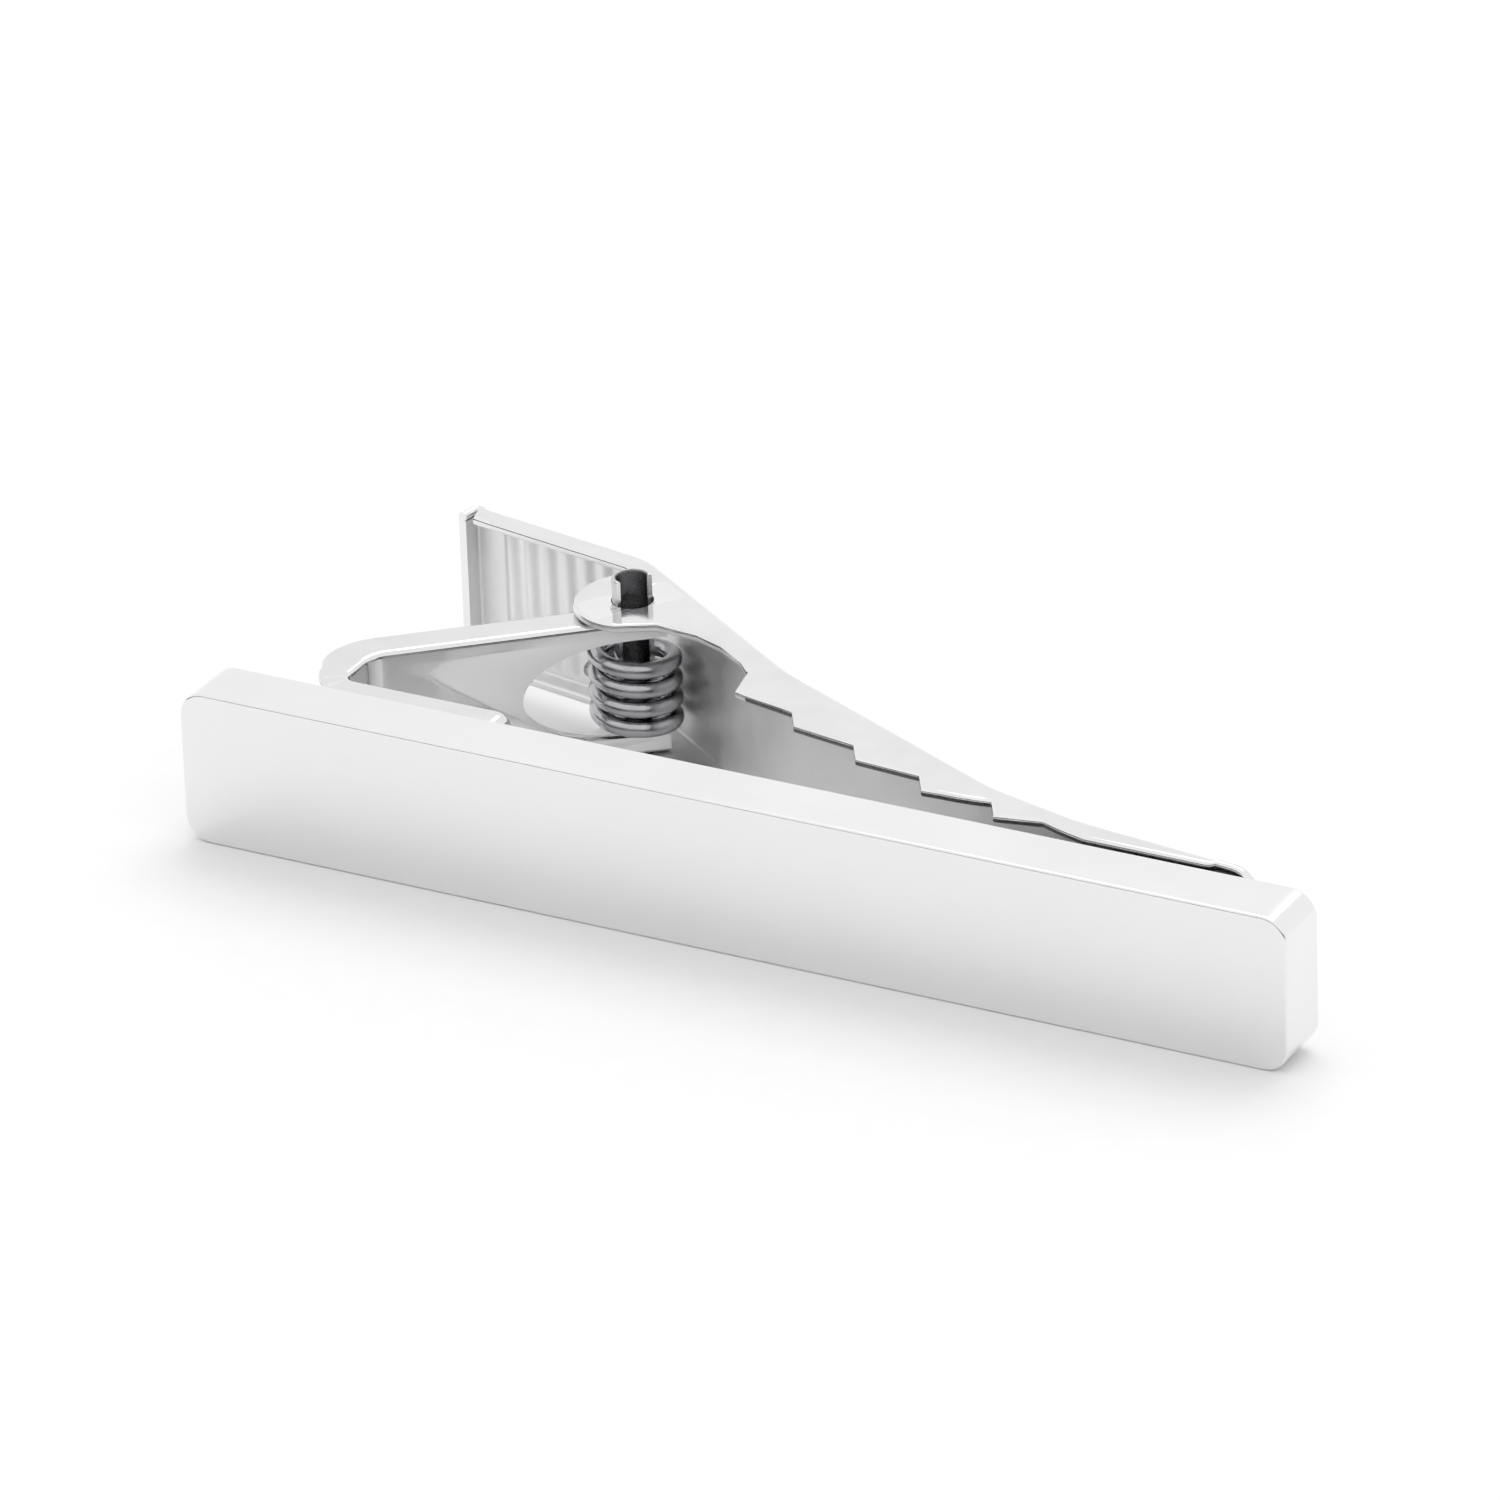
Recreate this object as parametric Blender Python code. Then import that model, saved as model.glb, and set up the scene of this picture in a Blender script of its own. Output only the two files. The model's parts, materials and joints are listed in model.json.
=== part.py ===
"""Tie clip: a solid polished bar with a sprung alligator jaw on its back.

The clip is drawn in the bar's own axes: X along the bar from its left end, Y back from
its front face, Z up from the middle of its width. A resting frame then leans it forward,
the way it lies on a table: on the bar's lower front edge and the hinge pin's lower end.
All lengths are in metres.
"""
import bisect
from math import acos, asin, atan2, ceil, cos, floor, hypot, pi, radians, sin, sqrt, tan

import bmesh
import bpy
from mathutils import Matrix, Vector

MM = 0.001

# Front bar
BAR_LENGTH = 44.3 * MM
BAR_WIDTH = 6.0 * MM
BAR_THICKNESS = 2.52 * MM
BAR_CORNER_RADIUS = 1.0 * MM
BAR_EDGE_RADIUS = 0.1 * MM

# Clearances between pieces
SOLDER_GAP = 0.03 * MM
SIDE_CLEARANCE = 0.08 * MM
PIN_CLEARANCE = 0.04 * MM
TIP_GAP = 0.1 * MM
COIL_CLEARANCE = 0.14 * MM
COIL_SLACK_ON_PIN = 0.34 * MM
SPRING_REST_GAP = 0.03 * MM

# Pressed sheet
BRACKET_SHEET = 0.35 * MM
BRACKET_BEND = 0.22 * MM
JAW_SHEET = 0.34 * MM
JAW_BEND = 0.42 * MM

# Hinge: its place on the bar, and how far it stands off the bar's back
PIVOT_FROM_END = 11.6 * MM
PIVOT_STANDOFF = 10.58 * MM

# Rolled hinge pin
PIN_RADIUS = 0.75 * MM
PIN_WALL = 0.18 * MM
PIN_SEAM_ANGLE = radians(150)
PIN_SEAM_FACING = radians(-34)
PIN_PROUD_UPPER = 0.94 * MM
PIN_PROUD_LOWER = 0.65 * MM

# Base bracket
BRACKET_INSET = 0.25 * MM
BRACKET_WIDTH = BAR_WIDTH - 2 * BRACKET_INSET
FOOT_DEPTH = 1.3 * MM
FOOT_LENGTH = 6.9 * MM
FOOT_CORNER = 0.5 * MM
BEND_FROM_END = 4.7 * MM
BEND_RISE = 2.08 * MM
HEEL_RADIUS = 0.5 * MM
LEG_RADIUS = 1.2 * MM
LIP_ON_LEG = 1.45 * MM
LIP_AT_BULGE = 1.58 * MM
LIP_AT_HEEL = 1.02 * MM
LEG_SKIN_AT_PIN = 0.13 * MM
PIVOT_BEHIND_LEG = PIN_RADIUS + PIN_CLEARANCE + LEG_SKIN_AT_PIN
EAR_WALL = 0.34 * MM
EAR_ROOT = 0.3
LEG_END_WALL = 0.27 * MM
LEG_PAST_PIVOT = PIN_RADIUS + PIN_CLEARANCE + LEG_END_WALL
WINDOW_REACH = 4.41 * MM
RAIL_WIDTH = 0.8 * MM
WINDOW_HEIGHT = BRACKET_WIDTH - 2 * RAIL_WIDTH
WINDOW_END_LENGTH = 3.9 * MM
WINDOW_OVERCUT = 1.0 * MM

# Torsion spring
WIRE_RADIUS = 0.33 * MM
COIL_RADIUS = PIN_RADIUS + COIL_SLACK_ON_PIN + WIRE_RADIUS
COIL_GAP = 0.13 * MM
COIL_PITCH = 2 * WIRE_RADIUS + COIL_GAP
COIL_OVERHANG = 0.15 * MM
COIL_DROP = 0.2 * MM
COIL_TURNS = floor((WINDOW_HEIGHT - 2 * WIRE_RADIUS + COIL_OVERHANG) / COIL_PITCH)
SPRING_LEG_LENGTH = 4.6 * MM
WIRE_SIDES = 8
POINTS_PER_TURN = 18

# Jaw lever, from its thumb tab to its tip
TAB_END_X = 2.22 * MM
TAB_BEHIND_PIVOT = 5.05 * MM
TAB_SLOPE = -0.19
TAB_LIP = 1.12 * MM
TAB_END_LIP = 1.0 * MM
TAB_END_RADIUS = 0.45 * MM
TAB_CORNER_LIP = 0.85 * TAB_END_RADIUS
TAB_LIP_RAMP = 0.35 * MM
KNEE_RADIUS = 3.0 * MM
SPINE_SLOPE = -0.69
SPINE_RADIUS = 9.0 * MM
TIP_FROM_BAR_END = 2.4 * MM
TIP_SLOPE_RISE = 0.06 * MM
TIP_CORNER = 1.0 * MM
NOSE_RADIUS = 2.2 * MM
NOSE_MARGIN = 0.1 * MM

# Jaw outline: shares of the reach from pivot to tip, and of the pivot's stand-off
SHOULDER = 0.2607
HOLLOW = (0.6238, 0.2382)
FLAT = (0.7525, 0.1371)
THROAT = ((0.0578, 0.8648), (0.1139, 0.8507), (0.1556, 0.8043), (0.1980, 0.7240), (0.2195, 0.6580))
FIRST_TOOTH = 0.2294
LAST_TOOTH = 0.6571
TOOTH_RISE = 0.4811
TOOTH_COUNT = 5
TOOTH_CURVE = 1.35
LAST_TOOTH_GAP = 0.36 * MM
NOTCH_BACK = 0.6 * MM
NOTCH_DEPTH = 1.0 * MM
LAST_NOTCH = (0.0579, 0.62 * MM)
PAD = (0.7789, 0.9439)
PAD_END_RADIUS = 0.35 * MM
PAD_END_SHAPE = (0.6, 0.2)
TIP_LIP = 1.25 * JAW_SHEET

# Pressed thumb ribs
RIB_COUNT = 7
RIB_PITCH = 0.9 * MM
RIB_DEPTH = 0.16 * MM
RIB_START = 1.1 * MM
RIB_SIDE_MARGIN = 0.35 * MM
RIB_STEPS = 6

# Solder
SOLDER_CHAMFER = 0.2 * MM

# Mesh fineness
BEND_STEP = radians(14)
CLOSEST_SECTIONS = 0.012 * MM
LEAST_BEND = 0.02 * MM
CORNER_STEPS = 5
EAR_STEPS = 8
BULGE_STEPS = 6
NOSE_STEPS = 8
BORE_SIDES = 24
PIN_POINTS = 19
SHARP_ANGLE = radians(35)
WIRE_SHARP_ANGLE = radians(60)
BEVEL_ANGLE = radians(40)
BEND_SIDES = 3
CORNER_POINTS = 7
WINDOW_POINTS = 15
TINY = 1e-9
ARC_PARTS = 6

# Places that follow from the sizes above
PIVOT = Vector((PIVOT_FROM_END, BAR_THICKNESS + PIVOT_STANDOFF))
JAW_REACH = BAR_LENGTH - TIP_FROM_BAR_END - PIVOT_FROM_END
TIP = Vector((PIVOT.x + JAW_REACH, BAR_THICKNESS + TIP_GAP + JAW_SHEET + TIP_SLOPE_RISE))
EAR_RADIUS = PIN_RADIUS + PIN_CLEARANCE + EAR_WALL
JAW_WIDTH = BRACKET_WIDTH + 2 * (SIDE_CLEARANCE + JAW_SHEET)
SPINE_BEHIND_PIVOT = COIL_RADIUS + WIRE_RADIUS + COIL_CLEARANCE + JAW_SHEET
FOOT_FACE_Y = BAR_THICKNESS + SOLDER_GAP + FOOT_DEPTH
PIN_LOW_Z = -JAW_WIDTH / 2 - PIN_PROUD_LOWER
PIN_HIGH_Z = JAW_WIDTH / 2 + PIN_PROUD_UPPER
LEAN = atan2(-PIN_LOW_Z - BAR_WIDTH / 2, PIVOT.y - PIN_RADIUS)


# ---------------------------------------------------------------- plane geometry

def unit(slope):
    """The unit vector of a line that rises by slope for each unit of X."""
    return Vector((1.0, slope)).normalized()


def right_of(direction):
    """A direction turned a quarter turn clockwise, seen from above."""
    return Vector((direction.y, -direction.x))


def meet(point_a, dir_a, point_b, dir_b):
    """Where two lines in the plane cross."""
    cross = dir_a.x * dir_b.y - dir_a.y * dir_b.x
    gap = point_b - point_a
    return point_a + dir_a * ((gap.x * dir_b.y - gap.y * dir_b.x) / cross)


def route(corners, radii):
    """A bent strip's line: straight runs joined by arcs of the given radii."""
    pieces = []
    start = corners[0]
    reach = 0.0
    for before, corner, after, radius in zip(corners, corners[1:], corners[2:], radii):
        into = (corner - before).normalized()
        out = (after - corner).normalized()
        turn = atan2(into.x * out.y - into.y * out.x, into.dot(out))
        setback = radius * tan(abs(turn) / 2)
        bend_start = corner - into * setback
        run = (bend_start - start).length
        pieces.append(("line", reach, run, start, into, 0.0))
        reach += run
        pieces.append(("arc", reach, radius * abs(turn), bend_start, into, turn))
        reach += radius * abs(turn)
        start = corner + out * setback
    last = corners[-1] - start
    pieces.append(("line", reach, last.length, start, last.normalized(), 0.0))
    return pieces


def length_of(pieces):
    return pieces[-1][1] + pieces[-1][2]


def along(pieces, reach):
    """The point and the direction of a route at a distance from its start."""
    starts = [piece[1] for piece in pieces]
    kind, begin, run, start, into, turn = pieces[max(bisect.bisect_right(starts, reach) - 1, 0)]
    step = reach - begin
    if kind == "line":
        return start + into * step, into
    angle = turn * step / run
    radius = run / turn
    side = Vector((-into.y, into.x))
    point = start + into * (radius * sin(angle)) + side * (radius * (1 - cos(angle)))
    return point, into * cos(angle) + side * sin(angle)


def reach_of(pieces, target):
    """Distance along the route whose normal passes through the target, and the depth there."""
    best = None
    for kind, begin, run, start, into, turn in pieces:
        count = 1 if kind == "line" else ARC_PARTS
        for index in range(count):
            low = begin + run * index / count
            high = begin + run * (index + 1) / count
            point_low, dir_low = along(pieces, low)
            point_high, dir_high = along(pieces, high - TINY)
            ahead_low = (target - point_low).dot(dir_low)
            ahead_high = (target - point_high).dot(dir_high)
            if ahead_low >= -TINY and ahead_high <= TINY:
                share = ahead_low / (ahead_low - ahead_high) if ahead_low > ahead_high else 0.0
                reach = low + (high - low) * share
                point, direction = along(pieces, reach)
                depth = (target - point).dot(right_of(direction))
                if depth > 0 and (best is None or depth < best[1]):
                    best = (reach, depth)
    return best


def between(table, reach):
    """The value at a distance, from a list of (distance, value) joined by straight lines."""
    places = [place for place, _ in table]
    index = bisect.bisect_right(places, reach)
    if index == 0:
        return table[0][1]
    if index == len(table):
        return table[-1][1]
    (low, low_value), (high, high_value) = table[index - 1], table[index]
    return low_value + (high_value - low_value) * (reach - low) / (high - low)


# ---------------------------------------------------------------- mesh helpers

def add_object(name, mesh_data, material, parent, smooth_angle=SHARP_ANGLE):
    """Turn a bmesh into a named object in the resting frame."""
    bmesh.ops.recalc_face_normals(mesh_data, faces=mesh_data.faces)
    mesh = bpy.data.meshes.new(name)
    mesh_data.to_mesh(mesh)
    mesh_data.free()
    mesh.shade_smooth()
    mesh.set_sharp_from_angle(angle=smooth_angle)
    piece = bpy.data.objects.new(name, mesh)
    if material is not None:
        mesh.materials.append(material)
    bpy.context.scene.collection.objects.link(piece)
    piece.parent = parent
    return piece


def loft(sections):
    """A closed solid through equal rings of points, capped at both ends."""
    mesh_data = bmesh.new()
    rings = [[mesh_data.verts.new(point) for point in section] for section in sections]
    size = len(rings[0])
    for ring, following in zip(rings, rings[1:]):
        for index in range(size):
            after = (index + 1) % size
            mesh_data.faces.new((ring[index], ring[after], following[after], following[index]))
    mesh_data.faces.new(reversed(rings[0]))
    mesh_data.faces.new(rings[-1])
    return mesh_data


def prism(outline, low_z, high_z):
    """A flat outline raised from one height to another."""
    return loft([[(x, y, z) for x, y in outline] for z in (low_z, high_z)])


def circle(centre, radius, count, start=0.0, sweep=2 * pi, closed=True):
    steps = count if closed else count - 1
    angles = [start + sweep * index / steps for index in range(count)]
    return [(centre.x + radius * cos(angle), centre.y + radius * sin(angle)) for angle in angles]


def cut(piece, cutter):
    """Cut a piece with a hidden guide solid."""
    cutter.hide_render = True
    cutter.display_type = "WIRE"
    boolean = piece.modifiers.new(cutter.name, "BOOLEAN")
    boolean.operation = "DIFFERENCE"
    boolean.solver = "EXACT"
    boolean.object = cutter


def channel_section(half_width, depth, sheet, bend, dent):
    """Half outline of a U channel: (depth, height) from the rim, round the bend, to mid web.

    The web's outer face is at depth 0 and the side's outer face at half_width. dent pushes
    the web in, away from its side bends.
    """
    bend = min(bend, depth * 0.95)
    inner = max(bend - sheet, LEAST_BEND)
    outer_side = [(depth, half_width)]
    inner_side = [(depth, half_width - sheet)]
    for step in range(BEND_SIDES + 1):
        angle = pi / 2 * step / BEND_SIDES
        outer_side.append((bend - bend * sin(angle), half_width - bend + bend * cos(angle)))
        centre = sheet + inner
        inner_side.append((centre - inner * sin(angle), half_width - centre + inner * cos(angle)))
    web_edge = half_width - bend - RIB_SIDE_MARGIN
    outer_side.append((dent, web_edge))
    inner_side.append((sheet + dent, web_edge))
    return outer_side, inner_side


def channel(pieces, stations, depth_at, half_width_at, sheet, bend, dent_at):
    """A pressed channel that follows a route, its sides on the right of the route."""
    sections = []
    for reach in stations:
        point, direction = along(pieces, reach)
        inward = right_of(direction)
        outer, inner = channel_section(
            half_width_at(reach), depth_at(reach), sheet, bend, dent_at(reach))
        ring = list(outer)
        ring += [(depth, -height) for depth, height in outer[::-1]]
        ring += [(depth, -height) for depth, height in inner]
        ring += [(depth, height) for depth, height in inner[::-1]]
        spots = [(point + inward * depth, height) for depth, height in ring]
        sections.append([(spot.x, spot.y, height) for spot, height in spots])
    return loft(sections)


def loft_stations(pieces, wanted):
    """Distances for the sections of a channel: each bend's steps and the wanted ones."""
    marks = set(wanted)
    for kind, begin, run, _, _, turn in pieces:
        steps = max(ceil(abs(turn) / BEND_STEP), 1) if kind == "arc" else 1
        marks.update(begin + run * step / steps for step in range(steps + 1))
    end = length_of(pieces)
    tidy = []
    for mark in sorted(mark for mark in marks if 0 <= mark <= end):
        if not tidy or mark - tidy[-1] > CLOSEST_SECTIONS:
            tidy.append(mark)
    return tidy


# ---------------------------------------------------------------- materials

def plated(name, colour, roughness):
    material = bpy.data.materials.new(name)
    material.use_nodes = True
    shader = material.node_tree.nodes["Principled BSDF"]
    shader.inputs["Base Color"].default_value = (*colour, 1.0)
    shader.inputs["Metallic"].default_value = 1.0
    shader.inputs["Roughness"].default_value = roughness
    return material


def bar_plating():
    return plated("polished_bar_plating", (0.86, 0.86, 0.87), 0.06)


def bracket_plating():
    return plated("bracket_plating", (0.78, 0.78, 0.80), 0.10)


def jaw_plating():
    return plated("jaw_plating", (0.80, 0.80, 0.82), 0.10)


def pin_steel():
    return plated("rolled_pin_steel", (0.66, 0.66, 0.68), 0.16)


def spring_steel():
    return plated("spring_wire_steel", (0.36, 0.36, 0.38), 0.22)


def solder_alloy():
    return plated("silver_solder", (0.62, 0.62, 0.60), 0.35)


# ---------------------------------------------------------------- pieces

def front_bar(parent):
    """Solid bar with round corners and softened edges."""
    radius = BAR_CORNER_RADIUS
    low = -BAR_WIDTH / 2 + radius
    high = BAR_WIDTH / 2 - radius
    corners = [
        (Vector((BAR_LENGTH - radius, high)), 0.0),
        (Vector((radius, high)), pi / 2),
        (Vector((radius, low)), pi),
        (Vector((BAR_LENGTH - radius, low)), 3 * pi / 2),
    ]
    outline = []
    for centre, start in corners:
        outline += circle(centre, radius, CORNER_POINTS, start, pi / 2, closed=False)
    mesh_data = loft([[(x, y, z) for x, z in outline] for y in (0.0, BAR_THICKNESS)])
    bar = add_object("front_bar", mesh_data, bar_plating(), parent)
    bevel = bar.modifiers.new("softened_edges", "BEVEL")
    bevel.width = BAR_EDGE_RADIUS
    bevel.segments = 2
    bevel.limit_method = "ANGLE"
    bevel.angle_limit = BEVEL_ANGLE
    return bar


def bracket_leg():
    """The leg's face toward the bar: where it starts, its direction and the pivot's foot."""
    heel_top = Vector((BEND_FROM_END, FOOT_FACE_Y + BEND_RISE))
    to_pivot = PIVOT - heel_top
    lean_off = acos(sqrt(1 - (PIVOT_BEHIND_LEG / to_pivot.length) ** 2))
    angle = atan2(to_pivot.y, to_pivot.x) - lean_off
    direction = Vector((cos(angle), sin(angle)))
    foot = heel_top + direction * to_pivot.dot(direction)
    return heel_top, direction, foot


def bracket_route():
    """From the leg's free end, down the leg, round the bend and along the foot."""
    heel_top, direction, pivot_foot = bracket_leg()
    corners = [
        pivot_foot + direction * LEG_PAST_PIVOT,
        heel_top,
        Vector((BEND_FROM_END, FOOT_FACE_Y)),
        Vector((BEND_FROM_END + FOOT_LENGTH, FOOT_FACE_Y)),
    ]
    return route(corners, (LEG_RADIUS, HEEL_RADIUS))


def bracket_depths(pieces):
    """Depth of the bracket's lips along its route, with a round ear at the pivot."""
    table = []
    for step in range(EAR_STEPS + 1):
        place = LEG_PAST_PIVOT + EAR_RADIUS * (2 * step / EAR_STEPS - 1)
        if place < 0:
            continue
        rise = sqrt(max(EAR_RADIUS ** 2 - (place - LEG_PAST_PIVOT) ** 2, 0))
        table.append((place, max(PIVOT_BEHIND_LEG + rise, LIP_ON_LEG)))
    table.insert(0, (0.0, PIVOT_BEHIND_LEG + EAR_ROOT * EAR_RADIUS))
    table.append((pieces[0][2], LIP_ON_LEG))
    bulge = pieces[2][1]
    mid_heel = pieces[3][1] + 0.5 * pieces[3][2]
    for step in range(BULGE_STEPS + 1):
        share = step / BULGE_STEPS
        depth = LIP_AT_HEEL + (LIP_AT_BULGE - LIP_AT_HEEL) * cos(pi / 2 * share)
        table.append((bulge + (mid_heel - bulge) * share, depth))
    table.append((pieces[4][1], FOOT_DEPTH))
    return table


def corner_width(from_end, radius, half_width):
    """Half width near an end whose corners are rounded."""
    if from_end >= radius:
        return half_width
    return half_width - radius + sqrt(max(radius ** 2 - (radius - from_end) ** 2, 0.0))


def corner_marks(end, radius):
    """Distances for the sections of a rounded end."""
    return [end - radius * (1 - cos(pi / 2 * step / CORNER_STEPS)) for step in range(CORNER_STEPS + 1)]


def window_cutter(parent):
    """The slot in the leg that the coil sits in: oval at its inner end, open past the pivot."""
    heel_top, direction, pivot_foot = bracket_leg()
    half = WINDOW_HEIGHT / 2
    inner = -WINDOW_REACH + WINDOW_END_LENGTH
    outer = LEG_PAST_PIVOT + EAR_RADIUS
    round_end = circle(Vector((0.0, 0.0)), 1.0, WINDOW_POINTS, pi / 2, pi, closed=False)
    outline = [(inner + WINDOW_END_LENGTH * x, half * z) for x, z in round_end]
    outline += [(outer, -half), (outer, half)]
    inward = right_of(direction)
    sections = []
    for depth in (WINDOW_OVERCUT, -PIVOT_BEHIND_LEG - 2 * EAR_RADIUS):
        ring = []
        for reach, height in outline:
            spot = pivot_foot + direction * reach + inward * depth
            ring.append((spot.x, spot.y, height))
        sections.append(ring)
    return add_object("window_cutter", loft(sections), None, parent)


def bore_cutter(name, radius, parent):
    outline = circle(PIVOT, radius, BORE_SIDES)
    return add_object(name, prism(outline, -JAW_WIDTH, JAW_WIDTH), None, parent)


def base_bracket(parent):
    """Pressed channel bent into a V: a foot on the bar's back and a forked leg to the pin."""
    pieces = bracket_route()
    depths = bracket_depths(pieces)
    end = length_of(pieces)
    stations = loft_stations(pieces, [place for place, _ in depths] + corner_marks(end, FOOT_CORNER))
    mesh_data = channel(
        pieces, stations,
        lambda reach: between(depths, reach),
        lambda reach: corner_width(end - reach, FOOT_CORNER, BRACKET_WIDTH / 2),
        BRACKET_SHEET, BRACKET_BEND,
        lambda reach: 0.0)
    bracket = add_object("base_bracket", mesh_data, bracket_plating(), parent)
    cut(bracket, window_cutter(parent))
    cut(bracket, bore_cutter("bracket_bore_cutter", PIN_RADIUS + PIN_CLEARANCE, parent))
    return bracket


def jaw_spot(place):
    """A point of the jaw's outline from its shares of reach and stand-off."""
    return Vector((PIVOT.x + place[0] * JAW_REACH, BAR_THICKNESS + place[1] * PIVOT_STANDOFF))


def spine_route():
    """The jaw's back, from the thumb tab's front lip to the tip."""
    tab = unit(TAB_SLOPE)
    tab_corner = Vector((TAB_END_X, PIVOT.y + TAB_BEHIND_PIVOT))
    lip_start = tab_corner + right_of(tab) * TAB_END_LIP
    spine = unit(SPINE_SLOPE)
    beside_pivot = PIVOT - right_of(spine) * SPINE_BEHIND_PIVOT
    knee = meet(tab_corner, tab, beside_pivot, spine)
    shoulder = meet(beside_pivot, spine, jaw_spot((SHOULDER, 0.0)), Vector((0.0, 1.0)))
    corners = [lip_start, tab_corner, knee, shoulder, jaw_spot(HOLLOW), jaw_spot(FLAT), TIP]
    radii = (TAB_END_RADIUS, KNEE_RADIUS, SPINE_RADIUS, SPINE_RADIUS, SPINE_RADIUS)
    return route(corners, radii)


def tooth_tips():
    """The teeth stand on a curve that comes down to the bar toward the tip."""
    for index in range(TOOTH_COUNT):
        share = index / (TOOTH_COUNT - 1)
        place = FIRST_TOOTH + (LAST_TOOTH - FIRST_TOOTH) * share
        yield jaw_spot((place, TOOTH_RISE * (1 - share) ** TOOTH_CURVE)) + Vector((0.0, LAST_TOOTH_GAP))


def toothed_edge():
    """The jaw sides' edge from the throat behind the nose, over the teeth, to the pad's end."""
    marks = [jaw_spot(place) for place in THROAT]
    tips = list(tooth_tips())
    marks.append(tips[0])
    for tip in tips[1:]:
        marks.append(tip + Vector((-NOTCH_BACK, NOTCH_DEPTH)))
        marks.append(tip)
    ahead, rise = LAST_NOTCH
    pad_y = BAR_THICKNESS + TIP_GAP
    marks.append(Vector((tips[-1].x + ahead * JAW_REACH, pad_y + rise)))
    marks.append(Vector((PIVOT.x + PAD[0] * JAW_REACH, pad_y)))
    marks.append(Vector((PIVOT.x + PAD[1] * JAW_REACH - PAD_END_RADIUS, pad_y)))
    return marks


def jaw_edge(pieces):
    """Depth of the jaw's sides along its back: lip, nose round the pin, throat, teeth, pad."""
    nose_reach, nose_depth = reach_of(pieces, PIVOT)
    tab_start = pieces[2][1]
    table = [(0.0, TAB_CORNER_LIP), (tab_start, TAB_CORNER_LIP), (tab_start + TAB_LIP_RAMP, TAB_LIP)]
    table.append((nose_reach - NOSE_RADIUS - NOSE_MARGIN, TAB_LIP))
    for step in range(NOSE_STEPS - 1):
        angle = pi * step / NOSE_STEPS
        table.append((nose_reach - NOSE_RADIUS * cos(angle), nose_depth + NOSE_RADIUS * sin(angle)))
    for mark in toothed_edge():
        found = reach_of(pieces, mark)
        if found and found[0] > table[-1][0]:
            table.append(found)
    pad_reach, pad_depth = table[-1]
    ahead, rise = PAD_END_SHAPE
    table.append((pad_reach + ahead * PAD_END_RADIUS, pad_depth - rise * PAD_END_RADIUS))
    table.append((pad_reach + PAD_END_RADIUS, TIP_LIP))
    return table


def rib_dent(pieces, reach):
    """How far the pressed ribs push the tab's web in."""
    start = pieces[2][1] + RIB_START
    place = reach - start
    if place < 0 or place > RIB_COUNT * RIB_PITCH:
        return 0.0
    return RIB_DEPTH * 0.5 * (1 - cos(2 * pi * place / RIB_PITCH))


def jaw_lever(parent):
    """One pressed channel: ribbed thumb tab, nose round the pin, toothed sides, tip."""
    pieces = spine_route()
    edge = jaw_edge(pieces)
    end = length_of(pieces)
    rib_start = pieces[2][1] + RIB_START
    ribs = [rib_start + RIB_PITCH * step / RIB_STEPS for step in range(RIB_COUNT * RIB_STEPS + 1)]
    marks = [place for place, _ in edge] + ribs + corner_marks(end, TIP_CORNER)
    stations = loft_stations(pieces, marks)
    mesh_data = channel(
        pieces, stations,
        lambda reach: between(edge, reach),
        lambda reach: corner_width(end - reach, TIP_CORNER, JAW_WIDTH / 2),
        JAW_SHEET, JAW_BEND,
        lambda reach: rib_dent(pieces, reach))
    jaw = add_object("jaw_lever", mesh_data, jaw_plating(), parent)
    cut(jaw, bore_cutter("jaw_bore_cutter", PIN_RADIUS + PIN_CLEARANCE, parent))
    return jaw


def hinge_pin(parent):
    """Strip rolled into an open-seamed tube."""
    start = PIN_SEAM_FACING + PIN_SEAM_ANGLE / 2
    sweep = 2 * pi - PIN_SEAM_ANGLE
    outline = circle(PIVOT, PIN_RADIUS, PIN_POINTS, start, sweep, closed=False)
    outline += circle(PIVOT, PIN_RADIUS - PIN_WALL, PIN_POINTS, start + sweep, -sweep, closed=False)
    mesh_data = prism(outline, PIN_LOW_Z, PIN_HIGH_Z)
    return add_object("hinge_pin", mesh_data, pin_steel(), parent)


def turned(direction, angle):
    """A direction turned anticlockwise, seen from above."""
    side = Vector((-direction.y, direction.x))
    return direction * cos(angle) + side * sin(angle)


def lean_to_face(beyond):
    """How far a spring leg turns off its face's own direction so that its end reaches the face.

    beyond is how far the wire's line must end past the pivot's own line, measured from the
    side that the leg leaves the coil on.
    """
    reach = hypot(COIL_RADIUS, SPRING_LEG_LENGTH)
    return asin(beyond / reach) + atan2(COIL_RADIUS, SPRING_LEG_LENGTH)


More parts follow.
